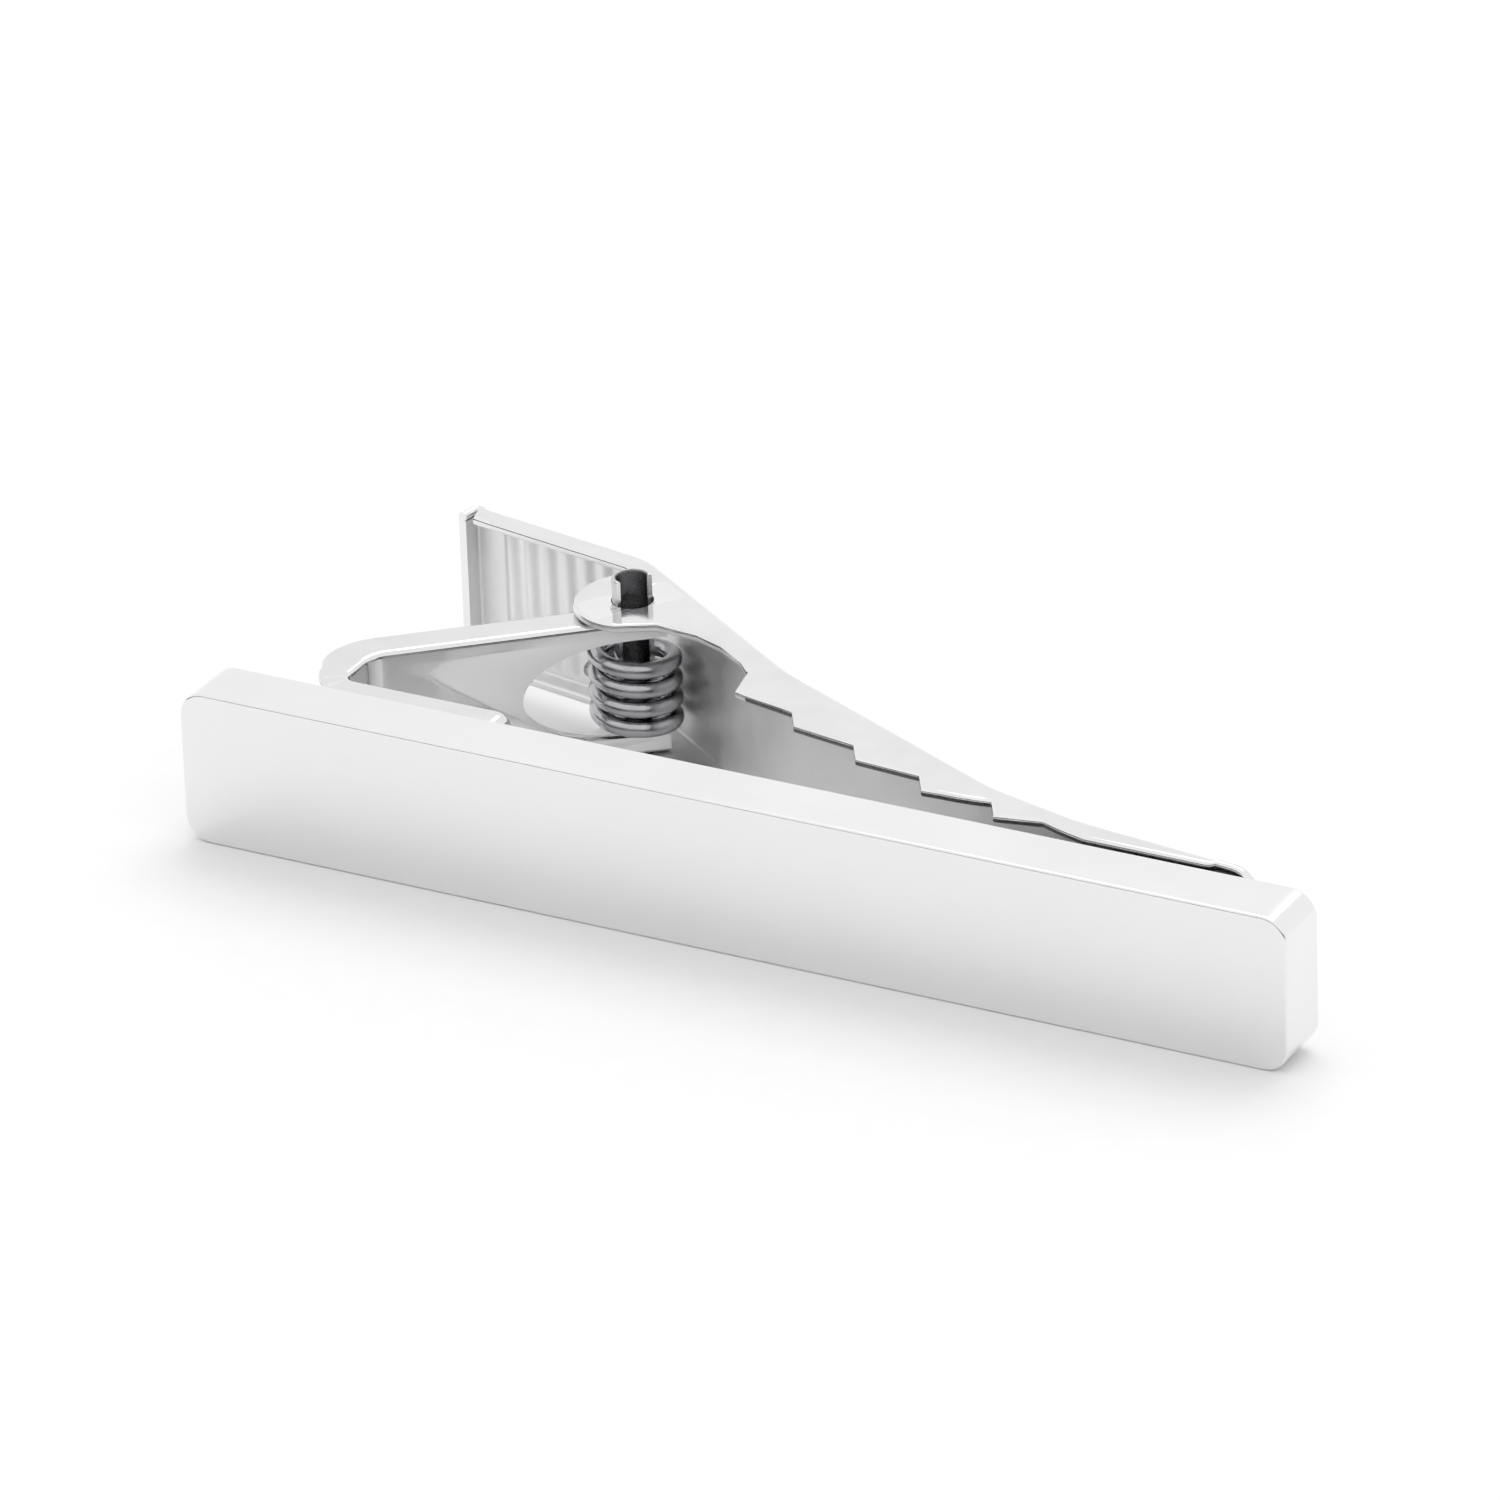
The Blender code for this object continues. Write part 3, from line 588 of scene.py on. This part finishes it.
def jaw_spot(place):
    """A point of the jaw's outline from its shares of reach and stand-off."""
    return Vector((PIVOT.x + place[0] * JAW_REACH, BAR_THICKNESS + place[1] * PIVOT_STANDOFF))


def spine_route():
    """The jaw's back, from the thumb tab's front lip to the tip."""
    tab = unit(TAB_SLOPE)
    tab_corner = Vector((TAB_END_X, PIVOT.y + TAB_BEHIND_PIVOT))
    lip_start = tab_corner + right_of(tab) * TAB_END_LIP
    spine = unit(SPINE_SLOPE)
    beside_pivot = PIVOT - right_of(spine) * SPINE_BEHIND_PIVOT
    knee = meet(tab_corner, tab, beside_pivot, spine)
    shoulder = meet(beside_pivot, spine, jaw_spot((SHOULDER, 0.0)), Vector((0.0, 1.0)))
    corners = [lip_start, tab_corner, knee, shoulder, jaw_spot(HOLLOW), jaw_spot(FLAT), TIP]
    radii = (TAB_END_RADIUS, KNEE_RADIUS, SPINE_RADIUS, SPINE_RADIUS, SPINE_RADIUS)
    return route(corners, radii)


def tooth_tips():
    """The teeth stand on a curve that comes down to the bar toward the tip."""
    for index in range(TOOTH_COUNT):
        share = index / (TOOTH_COUNT - 1)
        place = FIRST_TOOTH + (LAST_TOOTH - FIRST_TOOTH) * share
        rise = TOOTH_RISE * (1 - share) ** TOOTH_CURVE
        yield jaw_spot((place, rise)) + Vector((0.0, LAST_TOOTH_GAP))


def toothed_edge():
    """The jaw sides' edge from the throat behind the nose, over the teeth, to the pad's end."""
    marks = [jaw_spot(place) for place in THROAT]
    tips = list(tooth_tips())
    marks.append(tips[0])
    for tip in tips[1:]:
        marks.append(tip + Vector((-NOTCH_BACK, NOTCH_DEPTH)))
        marks.append(tip)
    ahead, rise = LAST_NOTCH
    pad_y = BAR_THICKNESS + TIP_GAP
    marks.append(Vector((tips[-1].x + ahead * JAW_REACH, pad_y + rise)))
    marks.append(Vector((PIVOT.x + PAD[0] * JAW_REACH, pad_y)))
    marks.append(Vector((PIVOT.x + PAD[1] * JAW_REACH - PAD_END_RADIUS, pad_y)))
    return marks


def jaw_edge(runs):
    """Depth of the jaw's sides along its back: lip, nose round the pin, throat, teeth, pad."""
    nose_reach, nose_depth = reach_of(runs, PIVOT)
    tab_start = runs[2][1]
    table = [
        (0.0, TAB_CORNER_LIP),
        (tab_start, TAB_CORNER_LIP),
        (tab_start + TAB_LIP_RAMP, TAB_LIP),
        (nose_reach - NOSE_RADIUS - NOSE_MARGIN, TAB_LIP),
    ]
    for step in range(int(NOSE_STEPS * NOSE_SHOWING) + 1):
        angle = pi * step / NOSE_STEPS
        table.append((nose_reach - NOSE_RADIUS * cos(angle), nose_depth + NOSE_RADIUS * sin(angle)))
    for mark in toothed_edge():
        found = reach_of(runs, mark)
        if found and found[0] > table[-1][0]:
            table.append(found)
    pad_reach, pad_depth = table[-1]
    ahead, rise = PAD_END_SHAPE
    table.append((pad_reach + ahead * PAD_END_RADIUS, pad_depth - rise * PAD_END_RADIUS))
    table.append((pad_reach + PAD_END_RADIUS, TIP_LIP))
    return table


def rib_dent(runs, reach):
    """How far the pressed ribs push the tab's web in."""
    place = reach - (runs[2][1] + RIB_START)
    if place < 0 or place > RIB_COUNT * RIB_PITCH:
        return 0.0
    return RIB_DEPTH * 0.5 * (1 - cos(2 * pi * place / RIB_PITCH))


def toothed_jaw(finishes):
    """One pressed channel: ribbed thumb tab, nose round the pin, toothed sides, tip."""
    runs = spine_route()
    edge = jaw_edge(runs)
    end = length_of(runs)
    rib_start = runs[2][1] + RIB_START
    ribs = [rib_start + RIB_PITCH * step / RIB_STEPS for step in range(RIB_COUNT * RIB_STEPS + 1)]
    marks = [place for place, _ in edge] + ribs + corner_marks(end, TIP_CORNER)
    stations = loft_stations(runs, marks)
    jaw = channel(
        "toothed_jaw", runs, stations,
        lambda reach: between(edge, reach),
        lambda reach: corner_width(end - reach, TIP_CORNER, JAW_WIDTH / 2),
        JAW_SHEET, JAW_BEND, lambda reach: rib_dent(runs, reach), finishes,
        reach_of(runs, next(tooth_tips()))[0])
    return cut(jaw, bore_cutter("jaw_bore_cutter"))


# ---------------------------------------------------------------- bar, pin and spring

def rounded_outline(inset):
    """The bar's outline, (x, z) pairs, brought in all round by inset."""
    radius = BAR_CORNER_RADIUS - inset
    low = -BAR_WIDTH / 2 + BAR_CORNER_RADIUS
    high = -low
    left = BAR_CORNER_RADIUS
    right = BAR_LENGTH - BAR_CORNER_RADIUS
    outline = []
    for turn, (x, z) in enumerate(((right, high), (left, high), (left, low), (right, low))):
        outline += circle(
            Vector((x, z)), radius, BAR_CORNER_STEPS + 1, turn * pi / 2, pi / 2, closed=False)
    return outline


def polished_bar(finish):
    """Solid bar with round corners, flat faces and a fine round along every edge."""
    edge = BAR_EDGE_RADIUS
    profile = [(edge + BAR_FACE_HOLDING, 0.0), (edge + HOLDING, 0.0)]
    for step in range(BAR_EDGE_STEPS + 1):
        angle = pi / 2 * step / BAR_EDGE_STEPS
        profile.append((edge * (1 - sin(angle)), edge * (1 - cos(angle))))
    profile.append((0.0, edge + HOLDING))
    profile += [(inset, BAR_THICKNESS - y) for inset, y in reversed(profile)]
    sections = [[(x, y, z) for x, z in rounded_outline(inset)] for inset, y in profile]
    return settle(finish_mesh("polished_bar", loft(sections), finish))


def rolled_pin(finishes):
    """Strip rolled into an open-seamed tube, its cut ends lightly broken.

    finishes are its outside with the ends, and its bore.
    """
    low = -JAW_WIDTH / 2 - PIN_PROUD_LOWER
    high = JAW_WIDTH / 2 + PIN_PROUD_UPPER
    edge = PIN_EDGE_RADIUS
    soft = PIN_EDGE_SOFTENING * edge
    levels = ((edge, low), (0.0, low + edge), (0.0, high - edge), (soft, high - soft), (edge, high))
    sections = []
    for inset, z in levels:
        outer = PIN_RADIUS - inset
        inner = PIN_RADIUS - PIN_WALL + inset
        start = PIN_SEAM_FACING + PIN_SEAM_ANGLE / 2 + inset / PIN_RADIUS
        sweep = 2 * pi - PIN_SEAM_ANGLE - 2 * inset / PIN_RADIUS
        outline = circle(PIVOT, outer, PIN_POINTS, start, sweep, closed=False)
        outline += circle(PIVOT, inner, PIN_POINTS, start + sweep, -sweep, closed=False)
        sections.append([(x, y, z) for x, y in outline])
    mesh_data = loft(sections)
    for index, face in enumerate(list(mesh_data.faces)[:-2]):
        if PIN_POINTS <= index % (2 * PIN_POINTS) < 2 * PIN_POINTS - 1:
            face.material_index = 1
    pin = finish_mesh("rolled_pin", mesh_data, finishes[0])
    pin.data.materials.append(finishes[1])
    return settle(pin)


def lean_to_face(beyond):
    """How far a spring leg turns off its face's own direction so that its end reaches the face."""
    reach = hypot(COIL_RADIUS, SPRING_LEG_LENGTH)
    return asin(beyond / reach) + atan2(COIL_RADIUS, SPRING_LEG_LENGTH)


def spring_line():
    """Centre line of the wire and its coil's height: bracket leg, left-handed coil, jaw leg."""
    _, leg, _ = bracket_leg()
    tab = unit(TAB_SLOPE)
    to_bracket = PIVOT_BEHIND_LEG - BRACKET_SHEET - WIRE_RADIUS - SPRING_REST_GAP
    leg = turned(leg, lean_to_face(to_bracket))
    tab_corner = Vector((TAB_END_X, PIVOT.y + TAB_BEHIND_PIVOT))
    tab_depth = (PIVOT - tab_corner).dot(right_of(tab))
    to_tab = tab_depth - JAW_SHEET - RIB_DEPTH - WIRE_RADIUS - SPRING_REST_GAP
    tab = turned(tab, lean_to_face(-to_tab))
    start = atan2(leg.x, -leg.y)
    finish = atan2(tab.x, -tab.y) + 2 * pi * COIL_TURNS
    height = COIL_PITCH * (finish - start) / (2 * pi)
    turns = ceil((finish - start) / (2 * pi / POINTS_PER_TURN))
    coil = []
    for step in range(turns + 1):
        angle = start + (finish - start) * step / turns
        spot = PIVOT + Vector((cos(angle), sin(angle))) * COIL_RADIUS
        coil.append(Vector((spot.x, spot.y, height * (0.5 - step / turns) - COIL_DROP)))
    leg_run = Vector((*leg, 0.0)) * SPRING_LEG_LENGTH
    tab_run = Vector((*tab, 0.0)) * SPRING_LEG_LENGTH
    first = [coil[0] - leg_run * share for share in LEG_SHARES]
    last = [coil[-1] - tab_run * share for share in reversed(LEG_SHARES)]
    return first + coil + last, height


def wound_spring(finish):
    """Round wire swept along the spring's line, its cut ends lightly rounded."""
    points, _ = spring_line()
    sections = []
    for index, point in enumerate(points):
        before = points[max(index - 1, 0)]
        after = points[min(index + 1, len(points) - 1)]
        direction = (after - before).normalized()
        side = direction.cross(Vector((0.0, 0.0, 1.0))).normalized()
        up = side.cross(direction)
        at_end = index in (0, len(points) - 1)
        rings = [(0.0, WIRE_RADIUS)]
        if at_end:
            inward = direction if index == 0 else -direction
            rings = [(0.0, WIRE_RADIUS * WIRE_END_SHARE), (WIRE_END_ROUNDING, WIRE_RADIUS)]
            if index:
                rings.reverse()
        for back, radius in rings:
            centre = point + (inward * back if at_end else Vector())
            ring = []
            for step in range(WIRE_SIDES):
                angle = 2 * pi * step / WIRE_SIDES
                ring.append(centre + side * (radius * cos(angle)) + up * (radius * sin(angle)))
            sections.append(ring)
    spring = finish_mesh("wound_spring", loft(sections), finish, WIRE_SHARP_ANGLE)
    return settle(spring, WIRE_SHARP_ANGLE)


# ---------------------------------------------------------------- finishes

SCRATCH_HALF_WIDTH = 0.02           # as a share of the spacing between scratches
SCRATCH_ROUGHNESS = 0.05            # added to the metal's own
WORN_FROM, WORN_TO = 0.52, 0.62     # pointiness where wear starts and where it is full
HAZE_FROM, HAZE_TO = 0.3, 0.7       # noise values that give the least and the most roughness
GRAIN_HEIGHT_MM = 0.02


def linear(hex_colour):
    """An sRGB hex colour as linear RGBA."""
    parts = [int(hex_colour[i:i + 2], 16) / 255 for i in (1, 3, 5)]
    values = [c / 12.92 if c <= 0.04045 else ((c + 0.055) / 1.055) ** 2.4 for c in parts]
    return (*values, 1.0)


def per(millimetres):
    """Texture scale for a pattern whose repeats are this far apart."""
    return 1.0 / (millimetres * MM)


def put(tree, kind, values=None, links=None, **settings):
    """Add one node: its settings, its socket values and what feeds its sockets."""
    node = tree.nodes.new(kind)
    for name, value in settings.items():
        setattr(node, name, value)
    for name, value in (values or {}).items():
        node.inputs[name].default_value = value
    for name, source in (links or {}).items():
        tree.links.new(source, node.inputs[name])
    return node


def metal(name, colours, roughness, smudge_mm, grain_mm, grain_stretch, grain_depth, wear,
          scratch_mm):
    """A metal finish with tone drift, handling smudges, a grain of its own and worn edges.

    colours: dull and bright sRGB hex. roughness: least and most. grain_depth and wear: 0 to 1.
    """
    material = bpy.data.materials.new(name)
    material.use_nodes = True
    tree = material.node_tree
    shader = tree.nodes["Principled BSDF"]
    shader.inputs["Metallic"].default_value = 1.0
    spot = put(tree, "ShaderNodeTexCoord").outputs["Object"]
    smudge = put(tree, "ShaderNodeTexNoise",
                 {"Scale": per(smudge_mm), "Detail": 3.0, "Roughness": 0.6}, {"Vector": spot})
    stretched = put(tree, "ShaderNodeMapping", {"Scale": grain_stretch}, {"Vector": spot})
    grain = put(tree, "ShaderNodeTexNoise",
                {"Scale": per(grain_mm), "Detail": 4.0, "Roughness": 0.65},
                {"Vector": stretched.outputs["Vector"]})
    scratch = put(tree, "ShaderNodeTexVoronoi", {"Scale": per(scratch_mm), "Randomness": 1.0},
                  {"Vector": stretched.outputs["Vector"]}, feature="DISTANCE_TO_EDGE")
    scratch_line = put(tree, "ShaderNodeMapRange",
                       {"From Min": 0.0, "From Max": SCRATCH_HALF_WIDTH,
                        "To Min": 1.0, "To Max": 0.0},
                       {"Value": scratch.outputs["Distance"]})
    edge = put(tree, "ShaderNodeMapRange",
               {"From Min": WORN_FROM, "From Max": WORN_TO, "To Min": 0.0, "To Max": wear},
               {"Value": put(tree, "ShaderNodeNewGeometry").outputs["Pointiness"]})
    tone = put(tree, "ShaderNodeMix", {"A": linear(colours[0]), "B": linear(colours[1])},
               {"Factor": smudge.outputs["Fac"]}, data_type="RGBA")
    worn = put(tree, "ShaderNodeMix", {"B": linear(colours[1])},
               {"Factor": edge.outputs["Result"], "A": tone.outputs["Result"]}, data_type="RGBA")
    haze = put(tree, "ShaderNodeMapRange",
               {"From Min": HAZE_FROM, "From Max": HAZE_TO,
                "To Min": roughness[0], "To Max": roughness[1]},
               {"Value": smudge.outputs["Fac"]})
    marks = put(tree, "ShaderNodeMath", {1: SCRATCH_ROUGHNESS},
                {0: scratch_line.outputs["Result"]}, operation="MULTIPLY")
    rough = put(tree, "ShaderNodeMath", None,
                {0: haze.outputs["Result"], 1: marks.outputs["Value"]}, operation="ADD")
    bump = put(tree, "ShaderNodeBump", {"Strength": grain_depth, "Distance": GRAIN_HEIGHT_MM * MM},
               {"Height": grain.outputs["Fac"]})
    tree.links.new(worn.outputs["Result"], shader.inputs["Base Color"])
    tree.links.new(rough.outputs["Value"], shader.inputs["Roughness"])
    tree.links.new(bump.outputs["Normal"], shader.inputs["Normal"])
    return material


def buffed_rhodium_plate():
    """Rhodium-tone plate over a buffed bar: near-white, smooth, its reflections a little hazed."""
    return metal(
        "buffed_rhodium_plate", colours=("#eaeaeb", "#f0f0f0"), roughness=(0.12, 0.19),
        smudge_mm=6.0, grain_mm=0.35, grain_stretch=(1.0, 6.0, 6.0),
        grain_depth=0.06, wear=0.5, scratch_mm=2.4)


def bright_nickel_plate_on_bracket():
    """Bright nickel plate on pressed sheet that was tumbled, not buffed: faint orange peel."""
    return metal(
        "bright_nickel_plate_bracket", colours=("#dadadb", "#ededed"), roughness=(0.05, 0.13),
        smudge_mm=2.2, grain_mm=0.5, grain_stretch=(1.0, 1.0, 1.0),
        grain_depth=0.16, wear=0.6, scratch_mm=1.8)


def bright_nickel_plate_on_jaw():
    """The same plate on the jaw, drawn a little along its length by the press."""
    return metal(
        "bright_nickel_plate_jaw", colours=("#dededf", "#f0f0f0"), roughness=(0.05, 0.12),
        smudge_mm=2.6, grain_mm=0.45, grain_stretch=(0.4, 1.0, 1.0),
        grain_depth=0.14, wear=0.6, scratch_mm=1.8)


def nickel_plate_inside_bracket_painted_shade():
    """Plate inside the bent bracket: thin and wavy, and painted a little grey under its shine, a
    painted shade for the inside of the channel.
    """
    return metal(
        "nickel_plate_inside_bracket_painted_shade", colours=("#c2c2c3", "#dcdcdd"), roughness=(0.10, 0.24),
        smudge_mm=1.6, grain_mm=1.3, grain_stretch=(1.0, 1.0, 1.0),
        grain_depth=0.8, wear=0.4, scratch_mm=1.2)


def nickel_plate_inside_jaw_painted_light():
    """Plate down inside the jaw, where no tumbling reaches: satin and softly streaked, and painted
    paler than the outside plate, a painted light for the bright reflections inside the jaw.
    """
    return metal(
        "nickel_plate_inside_jaw_painted_light", colours=("#ececec", "#fafafa"), roughness=(0.40, 0.56),
        smudge_mm=1.6, grain_mm=1.1, grain_stretch=(1.0, 1.0, 0.4),
        grain_depth=0.7, wear=0.4, scratch_mm=1.2)


def pin_bore_painted_shade():
    """The rolled pin's bore: steel with rolling lines, painted dark grey as the shade inside the
    tube.
    """
    return metal(
        "pin_bore_painted_shade", colours=("#4c4c4e", "#8a8a8c"), roughness=(0.18, 0.34),
        smudge_mm=0.5, grain_mm=0.12, grain_stretch=(6.0, 6.0, 0.6),
        grain_depth=0.5, wear=0.2, scratch_mm=0.4)


def sheared_edge_painted_shade():
    """The punched edge of the sheet: torn and grainy, with thin plate over it, and painted dark, a
    painted shade and painted reflection of the shaded bar's back that it faces.
    """
    return metal(
        "sheared_edge_painted_shade", colours=("#4a4a4b", "#8d8d8e"), roughness=(0.22, 0.45),
        smudge_mm=0.25, grain_mm=0.08, grain_stretch=(1.0, 0.3, 1.0),
        grain_depth=1.0, wear=0.3, scratch_mm=0.3)


def rolled_steel_strip():
    """Hard strip rolled into a tube: grey steel, a little dull, with drawn lines up its length."""
    return metal(
        "rolled_steel_strip", colours=("#b4b4b6", "#dcdcdd"), roughness=(0.10, 0.2),
        smudge_mm=0.8, grain_mm=0.12, grain_stretch=(6.0, 6.0, 0.6),
        grain_depth=0.25, wear=0.7, scratch_mm=0.9)


def drawn_music_wire():
    """Drawn spring wire with a thin bright flash of plate: grey, keen highlight on each turn."""
    return metal(
        "drawn_music_wire", colours=("#a0a0a3", "#c6c6c8"), roughness=(0.07, 0.16),
        smudge_mm=0.7, grain_mm=0.15, grain_stretch=(1.0, 1.0, 5.0),
        grain_depth=0.3, wear=0.4, scratch_mm=0.8)


def silver_solder():
    """Silver solder as it froze: soft grey, satin, slightly rippled."""
    return metal(
        "silver_solder", colours=("#b4b4b0", "#cccbc6"), roughness=(0.28, 0.45),
        smudge_mm=0.9, grain_mm=0.3, grain_stretch=(1.0, 1.0, 1.0),
        grain_depth=0.6, wear=0.2, scratch_mm=0.7)


# ---------------------------------------------------------------- table, light and camera

# Lengths here are in metres and angles in radians. The gap's edges are parts of a unit vector.
TABLE_SIZE = 3.0
TENT_LIGHT = 1.0
TENT_LIGHT_IN_GAP = 0.02
GAP_TOP = 0.16              # Z up to which the gap is full
GAP_TOP_SOFTNESS = 0.14
GAP_STARTS = 0.1            # Y where the gap starts
GAP_FULL = -0.3             # Y from which it is full, toward the front
GAP_DARKNESS = 1.0
SOFT_BOX_WATTS = 0.7
SOFT_BOX_SIZE = 0.4
SOFT_BOX_PLACE = (-0.05, 0.3, 0.55)

CAMERA_TURN = 0.48691053
CAMERA_DROP = 0.40123679
CAMERA_DISTANCE = 0.4065
CAMERA_AIM = (0.000369, -0.007594, 0.007505)
LENS_MM = 275.98
SENSOR_MM = 36.0


def table_top():
    """Pale seamless table: matt white board, far wider than the clip."""
    mesh_data = bmesh.new()
    bmesh.ops.create_grid(mesh_data, x_segments=8, y_segments=8, size=TABLE_SIZE)
    mesh = bpy.data.meshes.new("table_top")
    mesh_data.to_mesh(mesh)
    mesh_data.free()
    top = bpy.data.objects.new("table_top", mesh)
    bpy.context.scene.collection.objects.link(top)
    board = bpy.data.materials.new("matt_white_board")
    board.use_nodes = True
    tree = board.node_tree
    shader = tree.nodes["Principled BSDF"]
    shader.inputs["Roughness"].default_value = 0.6
    shader.inputs["Specular IOR Level"].default_value = 0.2
    spot = put(tree, "ShaderNodeTexCoord").outputs["Object"]
    fibre = put(tree, "ShaderNodeTexNoise", {"Scale": per(1.5), "Detail": 3.0}, {"Vector": spot})
    tone = put(tree, "ShaderNodeMix", {"A": linear("#f6f6f6"), "B": linear("#f9f9f9")},
               {"Factor": fibre.outputs["Fac"]}, data_type="RGBA")
    tree.links.new(tone.outputs["Result"], shader.inputs["Base Color"])
    mesh.materials.append(board)


def soft_light(name, location, target, size, power):
    """A square soft box that faces a point."""
    light = bpy.data.lights.new(name, "AREA")
    light.shape = "SQUARE"
    light.size = size
    light.energy = power
    lamp = bpy.data.objects.new(name, light)
    lamp.location = location
    lamp.rotation_mode = "QUATERNION"
    lamp.rotation_quaternion = (Vector(target) - Vector(location)).to_track_quat("-Z", "Y")
    bpy.context.scene.collection.objects.link(lamp)


def studio_light():
    """A white tent with a dark gap low on the side it is seen from, and a soft box above."""
    world = bpy.data.worlds.new("white_tent")
    bpy.context.scene.world = world
    world.use_nodes = True
    tree = world.node_tree
    back = tree.nodes["Background"]
    spot = put(tree, "ShaderNodeTexCoord").outputs["Generated"]
    parts = put(tree, "ShaderNodeSeparateXYZ", None, {"Vector": spot}).outputs
    low = put(tree, "ShaderNodeMapRange",
              {"From Min": GAP_TOP + GAP_TOP_SOFTNESS, "From Max": GAP_TOP,
               "To Min": 0.0, "To Max": 1.0},
              {"Value": parts["Z"]}, interpolation_type="SMOOTHSTEP")
    front = put(tree, "ShaderNodeMapRange",
                {"From Min": GAP_STARTS, "From Max": GAP_FULL,
                 "To Min": 0.0, "To Max": GAP_DARKNESS},
                {"Value": parts["Y"]}, interpolation_type="SMOOTHSTEP")
    gap = put(tree, "ShaderNodeMath", None,
              {0: low.outputs["Result"], 1: front.outputs["Result"]}, operation="MULTIPLY")
    tent = put(tree, "ShaderNodeMapRange",
               {"From Min": 0.0, "From Max": 1.0,
                "To Min": TENT_LIGHT, "To Max": TENT_LIGHT_IN_GAP},
               {"Value": gap.outputs["Value"]})
    seen = put(tree, "ShaderNodeLightPath").outputs["Is Camera Ray"]
    light = put(tree, "ShaderNodeMix", {"B": 1.0}, {"Factor": seen, "A": tent.outputs["Result"]},
                data_type="FLOAT")
    tree.links.new(light.outputs["Result"], back.inputs["Strength"])
    back.inputs["Color"].default_value = (1.0, 1.0, 1.0, 1.0)
    soft_light("soft_box_above", SOFT_BOX_PLACE, (0.0, 0.0, 0.0), SOFT_BOX_SIZE, SOFT_BOX_WATTS)


def camera():
    """Long lens from the right of the bar's front, looking down a little."""
    turn, drop = CAMERA_TURN, CAMERA_DROP
    right = Vector((cos(turn), sin(turn), 0.0))
    forward = Vector((-sin(turn) * cos(drop), cos(turn) * cos(drop), -sin(drop)))
    up = right.cross(forward)
    lens = bpy.data.cameras.new("long_lens")
    lens.sensor_width = SENSOR_MM
    lens.lens = LENS_MM
    lens.clip_start = 0.01
    lens.clip_end = 20.0
    seat = bpy.data.objects.new("long_lens", lens)
    matrix = Matrix((right, up, -forward)).transposed().to_4x4()
    matrix.translation = Vector(CAMERA_AIM) - forward * CAMERA_DISTANCE
    seat.matrix_world = matrix
    bpy.context.scene.collection.objects.link(seat)
    bpy.context.scene.camera = seat


# ---------------------------------------------------------------- the clip

def repaint(node, finish):
    """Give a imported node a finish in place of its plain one."""
    node.data.materials.clear()
    node.data.materials.append(finish)


def seat_piece(piece, node, body):
    """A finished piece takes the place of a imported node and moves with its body."""
    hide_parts(node)
    if body:
        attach(piece, body)


def build_clip():
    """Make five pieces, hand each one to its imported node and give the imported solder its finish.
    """
    seat_piece(polished_bar(buffed_rhodium_plate()), "front_bar", BODY)
    sheared = sheared_edge_painted_shade()
    bracket = bent_bracket(
        (bright_nickel_plate_on_bracket(), nickel_plate_inside_bracket_painted_shade(), sheared))
    seat_piece(bracket, "base_bracket", BODY)
    jaw = toothed_jaw((bright_nickel_plate_on_jaw(), nickel_plate_inside_jaw_painted_light(), sheared))
    seat_piece(jaw, "jaw_lever", JAW)
    pin = rolled_pin((rolled_steel_strip(), pin_bore_painted_shade()))
    seat_piece(pin, "hinge_pin", BODY)
    spring = wound_spring(drawn_music_wire())
    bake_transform(spring)
    seat_piece(spring, "torsion_spring", None)
    repaint(frame["nodes"]["solder_bond"], silver_solder())


build_clip()
table_top()
studio_light()
camera()
bpy.context.scene.view_settings.view_transform = "Standard"
